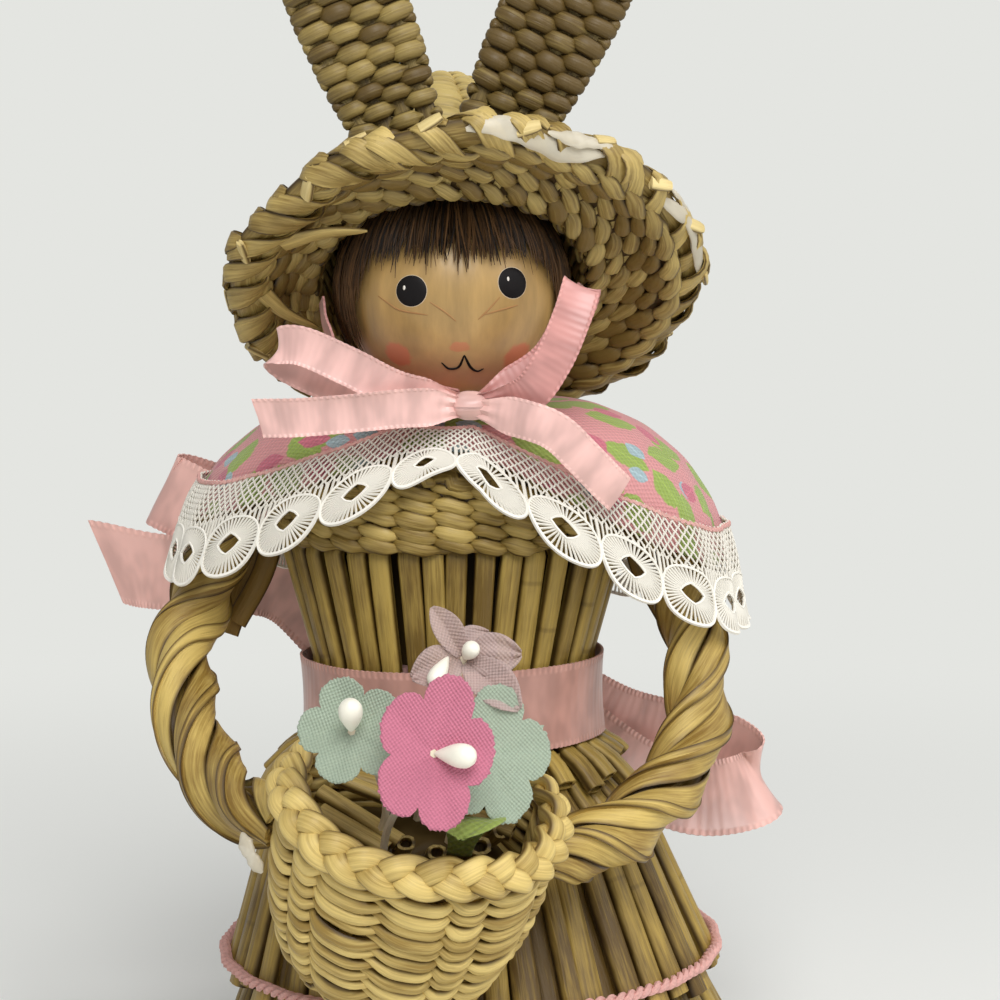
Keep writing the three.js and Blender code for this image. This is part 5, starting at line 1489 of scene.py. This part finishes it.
# %% Rope-laid arms
ARM_ROUTES = {
    "arm_left": [
        (-24.6, 0, 76.5), (-27, -1, 69), (-29.2, -2.4, 63.6), (-30.9, -6, 58.5),
        (-29.7, -12, 53.4), (-27.2, -19, 49.4), (-24, -26, 47), (-17.0, -37.4, 46.2),
    ],
    "arm_right": [
        (24.6, 0, 76.5), (26.2, -1.2, 68), (27.4, -3, 62.6), (27.8, -6, 57.4), (28, -9.5, 52.2),
        (25.6, -15, 46.7), (21.6, -20, 43.4), (17.8, -25, 41.8), (9.6, -31.4, 41.0),
    ],
}
HANGING_STRAWS = np.array([
    [(20.6, 2.6, 72.0), (22.3, 2.2, 66.0), (25.4, 1.0, 60.4)],
    [(22.4, 3.4, 72.0), (24.0, 3.0, 66.0), (26.4, 1.6, 59.0)],
])
ARM_TURNS, STRAND_STRAWS, STRAND_REACH, CORE_SHARE, FAN = 1.95, 2, 0.536, 0.4, 46


def rope(seed, route, turns, steps=150):
    """Three strands laid up round a heart. Strand k runs at a share of the radius about the line, a third
    of a turn on, and is a core with broad flat straws side by side round its outer half. The twist
    slackens where the arm comes forward, and the rope is drawn in at the hand. Two straws hang from the
    shoulder behind it."""
    rng = np.random.default_rng(seed)
    line = smooth_path(route, steps)
    along = unit(np.gradient(line, axis=0))
    side = unit(np.array([1.0, 0, 0]) - along[:, :1] * along)
    up = np.cross(along, side)

    def about(angle, reach):
        """Directions round the line, scaled."""
        return reach[..., None] * (cos(angle)[..., None] * side + sin(angle)[..., None] * up)

    share = np.linspace(0, 1, steps)
    taper = ramp(share, 0.88, 1)
    radius = (3.1 + 0.6 * ramp(share, 0, 0.25)) * (1 - 0.42 * taper)
    strand = np.repeat(np.arange(3), STRAND_STRAWS)[:, None]
    fan = np.tile(np.linspace(-FAN, FAN, STRAND_STRAWS), 3)[:, None]
    fan = fan + rng.uniform(-5, 5, fan.shape)
    pace = abs(np.gradient(line, axis=0))
    twist = np.cumsum(np.hypot(pace[:, 0], pace[:, 2]) + 0.25 * pace[:, 1])
    turn = TAU * (turns * twist / twist[-1] + strand / 3)
    centre = line + about(turn, STRAND_REACH * radius + 0 * turn)
    lean = turn + radians(fan + 9 * sin(TAU * share + rng.uniform(0, TAU, fan.shape)))
    lift = (1 - STRAND_REACH) * radius - 0.28 + rng.uniform(-0.12, 0.12, fan.shape)
    paths = centre + about(lean, lift + 0 * lean)
    half = rng.uniform(1.55, 1.85, fan.shape) * (1 - 0.3 * taper) + 0 * turn
    tint = rng.uniform(0, 1, len(fan))
    straws = sweep(paths, about(lean, 1 + 0 * lean), SLIM_OUTLINE, halves(half, 0.36), tint)
    outline = superoval(10, 1)
    core = halves(CORE_SHARE * radius, CORE_SHARE * radius)
    inner_turn = turn[::STRAND_STRAWS]
    cores = sweep(centre[::STRAND_STRAWS], about(inner_turn, 1 + 0 * inner_turn), outline, core)
    heart = sweep(line, side, outline, core)
    mirror = np.array([np.sign(route[0][0]), 1, 1])
    ends = np.stack([smooth_path(stops * mirror, 16) for stops in HANGING_STRAWS])
    # The hanging straws take dark tints: painted shade, as they hang behind the arm.
    loose = sweep(ends, (0.0, -1.0, 0.15), SLIM_OUTLINE, (1.3, 0.4), [-0.4, -0.1])
    return joined(straws, cores, heart, loose)


for order, (name, route) in enumerate(ARM_ROUTES.items()):
    add_piece(name + "_rope", rope(75 + order, route, ARM_TURNS), arm_straw, [name])

# %% [markdown]
# ## Sash and bow behind
# The wide ribbon goes round the waist as a closed band and is tied behind. The band is a closed sweep of
# the same flat outline, and the bow uses the ribbon maker.

# %% Sash band and bow
SASH_MIDDLE = (SASH_LOW + SASH_HIGH) / 2


def sash_band(steps=700):
    """A closed band: an oval path with the flat outline upright, rippled at both edges."""
    turn = from_behind(steps)
    outline = flat_outline(13) * np.array([1, -1])
    half = WIDE * (0.98 + 0.02 * abs(sin(75 * turn)))
    height = half[:, None] * outline[:, 0]
    pull = 0.25 * outline[:, 0] ** 2 + 0.12 * sin(7 * turn)[:, None] * outline[:, 0]
    reach = 0.42 + pull + 0.14 * outline[:, 1]
    middle = SASH_MIDDLE + 0.25 * sin(turn)
    points = oval(turn[:, None], WAIST_WIDE + reach, WAIST_DEEP + reach, middle[:, None] + height)
    marks = np.stack([height, (15 * turn)[:, None] + 0 * height, 0 * height + 0.5], -1)
    return points.reshape(-1, 3), tube_faces(1, steps, len(outline), True), marks.reshape(-1, 3)


add_piece("sash_ribbon", sash_band(), shaded_sash_satin, ["sash"])
BACK_KNOT, BACK_KNOT_HALF = np.array([0.0, 15.4, SASH_MIDDLE]), (3.4, 2.0, 4.2)
UP_LEFT = [(0.5, 0, 0.85), (0.47, 0, 0.88), (0.5, 0, 0.85)]
DOWN_RIGHT = [
    (0, 0, 1), (0.2, 0, 1), (0.1, 0, 1), (-0.35, 0.2, 0.9), (-0.1, 0.5, 0.85), (0.2, 0.2, 0.95), (0, 0, 1),
]
ALONG_LEFT = [(0.3, 0, 1), (0.5, 0, 0.9), (0.15, 0, 1), (0.05, 0, 1)]
HANGING = [(1, 0, 0.2), (1, 0.3, 0.25), (1, 0.4, 0.2)]
BACK_RIBBONS = {
    "sash_bow_loop_left": (
        [(-4, 1.4, 1.6), (-13, 9, 9), (-25, 9.2, 16.6), (-33.4, 7.6, 20.2),
         (-36, 5.4, 20.8), (-33, 4.2, 19.4), (-25, 5.2, 15), (-13, 5.8, 7.6), (-4, 0.4, 1)],
        UP_LEFT, 0, LOOP),
    "sash_bow_loop_right": (
        [(3.6, 1, -0.6), (8, 6.4, -3), (13, 9.4, -5.6), (20.5, 10, -9.6), (28, 9.8, -11.6), (34.5, 8.2, -13),
         (38.4, 4.6, -15.2), (36, 1.8, -16.6), (29.5, 1.8, -17.2), (21.5, 4, -14.4), (14, 6.2, -9.4),
         (8, 4.6, -4.8), (3.5, 0.4, -1.2)], DOWN_RIGHT, 0, LOOP),
    "sash_bow_tail_left": (
        [(-5, -0.8, -2.4), (-13, 2, 2), (-20, 3.1, 8.6), (-26, 3, 10.4), (-36.3, 2.6, 11), (-43, 2.4, 12.3)],
        ALONG_LEFT, 6, TAIL),
    "sash_bow_tail_right": (
        [(-1, 2.1, -3), (1.6, 7.4, -13), (6, 11.8, -22), (8.6, 15.5, -29)], HANGING, 4, TAIL),
}
for name, (points, widths, slant, pinch) in BACK_RIBBONS.items():
    shape = ribbon(BACK_KNOT + np.array(points), widths, WIDE, slant, cup=0.05, pinch=pinch)
    add_piece(name + "_ribbon", shape, wide_satin, [name])
back_knot = knot_wrap(BACK_KNOT, BACK_KNOT_HALF, 7, 72, WIDE)
add_piece("sash_knot_ribbon", back_knot, wide_satin, ["sash_knot"])

# %% [markdown]
# ## Basket
# The basket leans towards the viewer against the skirt. Its wall is twined in the same way as the bonnet,
# on an oval that narrows to the floor. The border is a plait, and loose straws fill it.

# %% Basket weave
BASKET_TILT, BASKET_ROLL = radians(24), radians(11)
BASKET = np.array([-2.9, -37.93, 47.4])
BASKET_HEIGHT, BASKET_WIDE, BASKET_DEEP, BASKET_STAKES = 19.5, 13.5, 11.7, 14
WALL_SHARES = [0, 0.2, 0.35, 0.55, 0.7, 0.85, 0.92, 1, 1.2, 1.9]
WALL_SCALES = [1, 0.995, 0.985, 0.945, 0.9, 0.82, 0.77, 0.68, 0.5, 0.02]
WEAVE_LOOK = {"width": 0.51, "lift": 0.74, "slant": 0.14, "thick": 0.62, "sag": 0.36}


def from_basket(points):
    """Basket coordinates, from the middle of the rim, rolled, leaned forward and put in place."""
    x, y, z = np.moveaxis(np.asarray(points, float), -1, 0)
    c, s = cos(BASKET_ROLL), sin(BASKET_ROLL)
    x, z = x * c + z * s, z * c - x * s
    c, s = cos(BASKET_TILT), sin(BASKET_TILT)
    return BASKET + np.stack([x, y * c - z * s, y * s + z * c], -1)


def basket_surface(turn, depth):
    """Depth in millimetres down the wall, which is nearly upright and then drawn in to the floor. Past
    the floor's edge the depth runs inwards along the floor."""
    scale = np.interp(depth / BASKET_HEIGHT, WALL_SHARES, WALL_SCALES)
    z = -np.minimum(depth, 18.7) - 0.5 * ramp(depth, 17.5, 20.5)
    return from_basket(oval(turn, BASKET_WIDE * scale, BASKET_DEEP * scale, z))


wall_rows = np.concatenate([np.linspace(0.9, 18.6, 12), np.linspace(20.4, 34.6, 8)])
wall = joined(
    twined(basket_surface, BASKET_STAKES, wall_rows, 81, per_stake=14, uneven=0.2, **WEAVE_LOOK),
    stake_strips(basket_surface, BASKET_STAKES, 0.2, 33, 0.9, 0.3, 82, steps=36),
    shade_sheet(basket_surface, 0.6, 33, 0.15, rows=36),
)
add_piece("basket_wefts", wall, basket_straw, ["basket_bowl"])

# %% Plaited border of the basket
BORDER_WIDE, BORDER_DEEP, BORDER_Z, PLAIT_TURNS = 14.0, 12.2, 1.9, 8
STRAND_SHARE, GROOVES = 0.54, 3


def closed_plait(line, out, turns, half_wide, half_deep, tint, sides=20):
    """Three strands about a closed line. Strand k is at half_wide * sine of p across and half_deep * sine
    of 2p off the line, with p one full turn per plait turn and a third of a turn between strands. Each
    strand is a grooved oval."""
    steps = len(line)
    along = unit(np.roll(line, -1, 0) - np.roll(line, 1, 0))
    wide = unit(np.cross(out, along))
    off = np.cross(along, wide)
    p = TAU * (turns * np.arange(steps)[None] / steps + np.arange(3)[:, None] / 3)
    side = (1 - STRAND_SHARE) * half_wide * sin(p)
    rise = (1 - STRAND_SHARE) * 1.15 * half_deep * sin(2 * p)
    paths = line + side[..., None] * wide + rise[..., None] * off
    angle = round_angles(sides)
    groove = 1 - 0.1 * abs(sin(GROOVES * angle / 2)) ** 3
    outline = halves(groove * cos(angle), groove * sin(angle))
    size = (STRAND_SHARE * half_wide, STRAND_SHARE * 0.92 * half_deep)
    return sweep(paths, off, outline, size, tint, closed=True)


border_turn = from_behind(360)
border_z = BORDER_Z + 0.4 * sin(4 * border_turn + 0.5)
border_line = from_basket(oval(border_turn, BORDER_WIDE, BORDER_DEEP, border_z))
border_out = from_basket(oval(border_turn, 1, 1, 0.8)) - BASKET
border = closed_plait(border_line, unit(border_out), PLAIT_TURNS, 2.4, 1.5, [0.4, 0.7, 0.95])
add_piece("basket_border", border, basket_straw, ["basket_rim"])

# %% Straw filling
BED_TOP, BED_FLOOR = -5.4, -16.5


def filling_mound(rows=14, columns=60):
    """A dark bed under the filling, painted shade: a low dome over an oval, with a rough top."""
    share, turn = np.meshgrid(np.linspace(0.02, 1, rows), round_angles(columns), indexing="ij")
    rough = 0.35 * sin(9 * turn + 7 * share) * share
    top = oval(turn, 12.0 * share, 10.2 * share, BED_TOP - 2.0 * share**2 + rough)
    base = oval(turn[0], 7.4, 6.2, BED_FLOOR)
    points = np.concatenate([top.reshape(-1, 3), base, [[0, 0, BED_TOP], [0, 0, BED_FLOOR]]])
    return from_basket(points), dome_faces(rows + 1, columns, inside_out=True), np.zeros((len(points), 3))


FILLING = [  # start and end of the straws that show, in basket coordinates
    ((-10.2, 4.2, -2.0), (-1.4, -0.8, -3.0)),
    ((-8.6, 6.4, -1.6), (-0.6, 4.4, -2.4)),
    ((-10.0, 1.4, -2.4), (-2.6, -2.0, -3.4)),
    ((-6.6, 7.6, -2.2), (2.4, 6.6, -2.8)),
    ((-0.9, 1.4, -6.4), (-0.8, -1.2, -2.6)),
    ((4.6, 2.0, -6.4), (5.0, -0.8, -2.4)),
    ((6.4, 2.4, -6.2), (6.9, -0.4, -2.2)),
    ((2.6, 1.6, -6.6), (2.6, -1.0, -3.4)),
    ((8.4, 4.6, -5.4), (9.2, 2.6, -2.2)),
    ((3.6, 5.6, -2.4), (10.4, 3.0, -2.6)),
    ((1.0, -7.6, -3.4), (9.6, -4.6, -2.8)),
    ((-7.6, -5.2, -3.4), (0.0, -8.6, -3.2)),
]


def filling_straws(seed):
    """Cut straws in the basket: some lie across it, and others stand with hollow ends in view."""
    rng = np.random.default_rng(seed)
    ends = np.array(FILLING)
    share = np.linspace(0, 1, 8)[None, :, None]
    paths = from_basket(ends[:, None, 0] * (1 - share) + ends[:, None, 1] * share)
    count = len(FILLING)
    size = rng.uniform(0.85, 1.25, (count, 1, 1)) * np.array([1.0, 0.8])
    tint = rng.uniform(0, 1, count)
    return sweep(paths, (0.1, -0.4, 1.0), STRAW_OUTLINE, size, tint, hollow=True)


add_piece("basket_straws", filling_straws(83), rim_straw, ["basket_filling"])
add_piece("basket_bed", filling_mound(), shaded_core_straw)

# %% [markdown]
# ## Flowers
# Each flower is a five-lobed disc of stiff woven cloth, cupped and creased, on a wire stem with a cream
# drop in the middle. A flower is worked out flat, facing up, and then turned to face its own way.

# %% Flower maker
FLOWERS = {  # finish, slot, place, the way it faces, foot of its stem, half sizes, spin, cup, way of the drop
    "flower_pink": (
        pink_cloth, "pink_cloth", (-0.9, -8.8, 15), (-0.03, -0.75, 0.67), (-3, -3),
        (5.9, 7.8), 0.15, 0.1, (0.85, 0.05, 0.5)),
    "flower_mint_left": (
        mint_cloth, "mint_cloth", (-8.6, -2.7, 11.5), (-0.33, -0.67, 0.66), (-3.6, 0),
        (5.5, 5.4), 0.54, 0.14, (0.0, 0.5, 0.85)),
    "flower_mint_right": (
        mint_cloth, "mint_cloth", (5.4, -2.4, 11), (0.17, -0.7, 0.69), (3.8, 1.4),
        (6.2, 7.2), 0.2, 0.1, (-0.8, 0.1, 0.5)),
}
PETAL_ROWS, PETAL_COLUMNS, PETAL_LIFT = 20, 200, 0.25


def facing_frame(way):
    """Three directions of a flower: right and up across its face, and the way it faces."""
    way = unit(np.asarray(way, float))
    right = unit(np.cross([0, 0, 1.0], way))
    return np.stack([right, np.cross(way, right), way])


def petal_disc(radius, spin, cup, seed, rows=PETAL_ROWS, columns=PETAL_COLUMNS):
    """Five lobes: radius * (0.66 + 0.34 * |cos(2.5 turn)| to the 0.5) at the edge, round in the middle.
    The disc is cupped by the square of the distance, creased along the middle of each lobe, and slightly
    frayed at the edge."""
    rng = np.random.default_rng(seed)
    share, turn = np.meshgrid(np.linspace(0.03, 1, rows), round_angles(columns), indexing="ij")
    lobe = 0.66 + 0.34 * abs(cos(2.5 * (turn - spin))) ** 0.5
    fray = 1 + rng.normal(0, 0.012, columns) * share**12
    reach = share * (1 - share**1.5 + lobe * share**1.5) * fray
    lift = rng.uniform(-1, 1, 5)
    own = sum(lift[k] * np.clip(cos(turn - spin - k * TAU / 5), 0, 1) ** 6 for k in range(5))
    crease = abs(cos(2.5 * (turn - spin))) ** 6
    z = cup * max(radius) * reach**2 + 0.9 * own * share**2 - 0.3 * share * crease
    x, y = radius[0] * reach * sin(turn), radius[1] * reach * cos(turn)
    return np.stack([x, y, z], -1), np.stack([x, y, 0 * x], -1).reshape(-1, 3)


def drop(base, way, length, radius):
    """A cream drop along a direction, in basket coordinates: it swells past its middle and closes round."""
    share = np.linspace(0, 1, 14)
    round_ends = np.sqrt(np.clip(sin(pi * share**1.35), 0, 1))
    swell = radius * round_ends * (0.55 + 0.45 * share) + 0.06
    side = unit(np.cross(way, [0.3, 0.2, 1.0]))
    path = base + (share * length)[:, None] * way + (0.06 * length * share**2)[:, None] * side
    return sweep(from_basket(path), from_basket(side) - BASKET, superoval(14, 1), halves(swell, swell))


WIRE_RADIUS, STEM_FOOT_Z = 0.42, -3.8


def stem_wire(name, place, out, foot):
    """A stem from the filling up to the back of a flower, and a little through it."""
    start = np.array([*foot, STEM_FOOT_Z])
    bend, back = start + np.array([0, 0, 5.0]), np.array(place) - 5 * out
    line = from_basket(smooth_path([start, bend, back, np.array(place) + 0.4 * out], 24))
    wire = sweep(line, (0.3, -1.0, 0.2), ROUND_OUTLINE, WIRE_RADIUS)
    add_piece(name + "_wire", wire, wire_finish, [name + "_stem"])


def add_cloth(name, shape, cloth, node_name, thick):
    """A piece of stiff cloth: its grid, with a thickness."""
    piece = add_piece(name, shape, cloth, [node_name], 180)
    sheet = piece.modifiers.new("thickness", "SOLIDIFY")
    sheet.thickness, sheet.offset = thick * MM, 0
    return piece


for order, (name, flower) in enumerate(FLOWERS.items()):
    cloth, slot, place, way, foot, radius, spin, cup, drop_way = flower
    axes = facing_frame(way)
    local, marks = petal_disc(radius, spin, cup, 90 + order)
    flat = np.concatenate([local.reshape(-1, 3), np.zeros((1, 3))]) + np.array([0, 0, PETAL_LIFT])
    points = from_basket(np.array(place) + flat @ axes)
    faces = dome_faces(PETAL_ROWS, PETAL_COLUMNS, tips=1, inside_out=True)
    shape = (points, faces, np.concatenate([marks, np.zeros((1, 3))]))
    add_cloth(name + "_cloth", shape, cloth, name + "_petals", 0.16)
    bud = drop(np.array(place) + 0.5 * axes[2], unit(np.array(drop_way) @ axes), 4.6, 1.4)
    add_piece(name + "_drop", bud, stamen_finish, [name + "_stamen"])
    stem_wire(name, place, axes[2], foot)


# %% Folded lilac flower and leaf
def blade(stops, half_width, side, up, fold, pleats=0.0, blunt=0.7, late=1.0, rows=24, columns=17):
    """A petal or leaf: half-width swells and closes along a path, and the halves fold and ripple."""
    path = smooth_path(stops, rows)
    share, across = np.meshgrid(np.linspace(0, 1, rows), np.linspace(-1, 1, columns), indexing="ij")
    half = half_width * sin(pi * np.clip(0.08 + 0.9 * share**late, 0.03, 0.985)) ** blunt
    lift = fold * abs(across) * half + pleats * sin(7.5 * across + 1.5 * share) * share
    side, up = unit(np.array(side)), unit(np.array(up))
    points = path[:, None] + (half * across)[..., None] * side + lift[..., None] * up
    length = np.linalg.norm(np.diff(path, axis=0), axis=1).sum()
    marks = np.stack([half * across, length * share, 0 * share], -1)
    return points.reshape(-1, 3), grid_faces(rows, columns), marks.reshape(-1, 3)


LILAC, LILAC_WAY, LILAC_FOOT = np.array([1.6, 5.8, 16.3]), (-0.05, -0.68, 0.73), (0.4, 4.4)
lilac_axes = facing_frame(LILAC_WAY)
PETALS = [  # end of the petal as right, up and out of the flower's face, half-width, fold, pleats
    ((-4.2, 4.4, 1.0), 1.5, 0.7, 0.0),
    ((5.6, 1.4, 1.2), 2.3, 0.2, 0.35),
    ((6.4, -4.4, 1.8), 2.2, 0.5, 0.1),
    ((-4.8, -3.2, 0.8), 2.2, 0.4, 0.15),
    ((2.2, 3.4, -0.8), 2.2, 0.3, 0.2),
]
LILAC_DROPS = [  # foot and way by the flower's axes, length, radius
    ((0, 0, 0.5), (0.3, 0.35, 1.0), 3.0, 1.0),
    ((-1.6, -0.2, 1.0), (-0.25, -0.9, 0.45), 4.2, 1.0),
]
petals = []
for tip, half_width, fold, pleats in PETALS:
    tip = np.array(tip)
    side = np.cross([0, 0, 1.0], tip)
    stops = [0.06 * tip, 0.5 * tip + np.array([0, 0, 0.5]), tip]
    points, faces, marks = blade(stops, half_width, side, (0, 0, 1), fold, pleats)
    petals.append((from_basket(LILAC + (points + np.array([0, 0, 0.3])) @ lilac_axes), faces, marks))
add_cloth("flower_lilac_cloth", joined(*petals), lilac_cloth, "flower_lilac_petals", 0.14)
buds = [
    drop(LILAC + np.array(foot) @ lilac_axes, unit(np.array(way) @ lilac_axes), length, radius)
    for foot, way, length, radius in LILAC_DROPS
]
add_piece("flower_lilac_drop", joined(*buds), stamen_finish, ["flower_lilac_stamen"])
stem_wire("flower_lilac", LILAC, lilac_axes[2], LILAC_FOOT)

LEAF_STOPS = [(4.6, -3, -1.8), (4.3, -5.0, 4.4), (3.8, -7.8, 6.5), (3.4, -10.2, 6.2)]
points, faces, marks = blade(LEAF_STOPS, 3.9, (1, 0, 0.05), (0, 0.2, 1.0), 0.12, 0.1, 0.8, 2.4)
add_cloth("leaf_cloth", (from_basket(points), faces, marks), leaf_cloth, "leaf", 0.2)

# %% [markdown]
# ## Stage
# A pale floor, one large soft lamp above and in front, a weaker one from the side, and an even world. The
# floor fades to the flat backdrop colour away from the doll, for camera rays alone, so no horizon shows.

# %% Floor, lamps and camera
BACKDROP, FLOOR_HALF_SIDE = paint(228, 229, 225), 3


def floor_finish():
    """Pale floor: lit near the doll, and one flat backdrop colour further off."""
    material, tree, shader = new_finish("pale floor")
    fill(tree, shader.inputs, {"Base Color": paint(247, 248, 244), "Roughness": 0.9})
    place = node(tree, "TexCoord").outputs["Object"]
    away = node(tree, "VectorMath", {0: place}, operation="LENGTH").outputs["Value"]
    far = stretch(tree, away, 0.08, 0.3)
    seen = maths(tree, "MULTIPLY", far, node(tree, "LightPath").outputs["Is Camera Ray"])
    flat = node(tree, "Emission", {"Color": BACKDROP, "Strength": 1.0})
    mixed = node(tree, "MixShader", {0: seen, 1: shader.outputs[0], 2: flat.outputs[0]})
    fill(tree, tree.nodes["Material Output"].inputs, {"Surface": mixed.outputs[0]})
    return material


floor_mesh = bpy.data.meshes.new("floor")
corners = [(x * FLOOR_HALF_SIDE, y * FLOOR_HALF_SIDE, 0) for x, y in ((-1, -1), (1, -1), (1, 1), (-1, 1))]
floor_mesh.from_pydata(corners, [], [(0, 1, 2, 3)])
floor_mesh.materials.append(floor_finish())
floor = bpy.data.objects.new("floor", floor_mesh)
bpy.context.scene.collection.objects.link(floor)

world = bpy.data.worlds.new("studio")
bpy.context.scene.world = world
world.use_nodes = True
sky = world.node_tree
rays = node(sky, "LightPath").outputs
bounced = maths(sky, "MAXIMUM", rays["Is Glossy Ray"], rays["Is Transmission Ray"])
seen = maths(sky, "MAXIMUM", rays["Is Camera Ray"], bounced)
soft = node(sky, "Background", {"Color": (1, 1, 1, 1), "Strength": 0.27})
flat = node(sky, "Background", {"Color": BACKDROP, "Strength": 1.0})
mixed = node(sky, "MixShader", {0: seen, 1: soft.outputs[0], 2: flat.outputs[0]})
fill(sky, sky.nodes["World Output"].inputs, {"Surface": mixed.outputs[0]})


def look_at(place, aim):
    """Turn of a lamp or camera that looks from one point to another."""
    direction = (np.array(aim) - np.array(place)).tolist()
    return Vector(direction).to_track_quat("-Z", "Y").to_euler()


def lamp(name, place, aim, size, power):
    """A square soft lamp that looks at a point."""
    light = bpy.data.lights.new(name, "AREA")
    light.size, light.energy = size, power
    made = bpy.data.objects.new(name, light)
    made.location = place
    made.rotation_euler = look_at(place, aim)
    bpy.context.scene.collection.objects.link(made)


LAMP_AIM = (0, 0, 0.08)
lamp("key", (0.08, -0.58, 0.66), LAMP_AIM, 0.45, 5.2)
lamp("side", (0.6, -0.2, 0.5), LAMP_AIM, 0.4, 1.8)

CAMERA, CAMERA_AIM = np.array([5.5, -300.0, 117.0]), np.array([5.5, 0.0, 75.0])
SENSOR_WIDTH, PHOTO_WIDTH, FOCAL_PIXELS = 36, 1000, 2618
view = bpy.data.cameras.new("photo camera")
view.sensor_width = SENSOR_WIDTH
view.lens = SENSOR_WIDTH * FOCAL_PIXELS / PHOTO_WIDTH
view.clip_start = 0.01
camera = bpy.data.objects.new("photo camera", view)
camera.location = (CAMERA + SHIFT) * MM
camera.rotation_euler = look_at(CAMERA, CAMERA_AIM)
bpy.context.scene.collection.objects.link(camera)
bpy.context.scene.camera = camera
bpy.context.scene.view_settings.view_transform = "Standard"
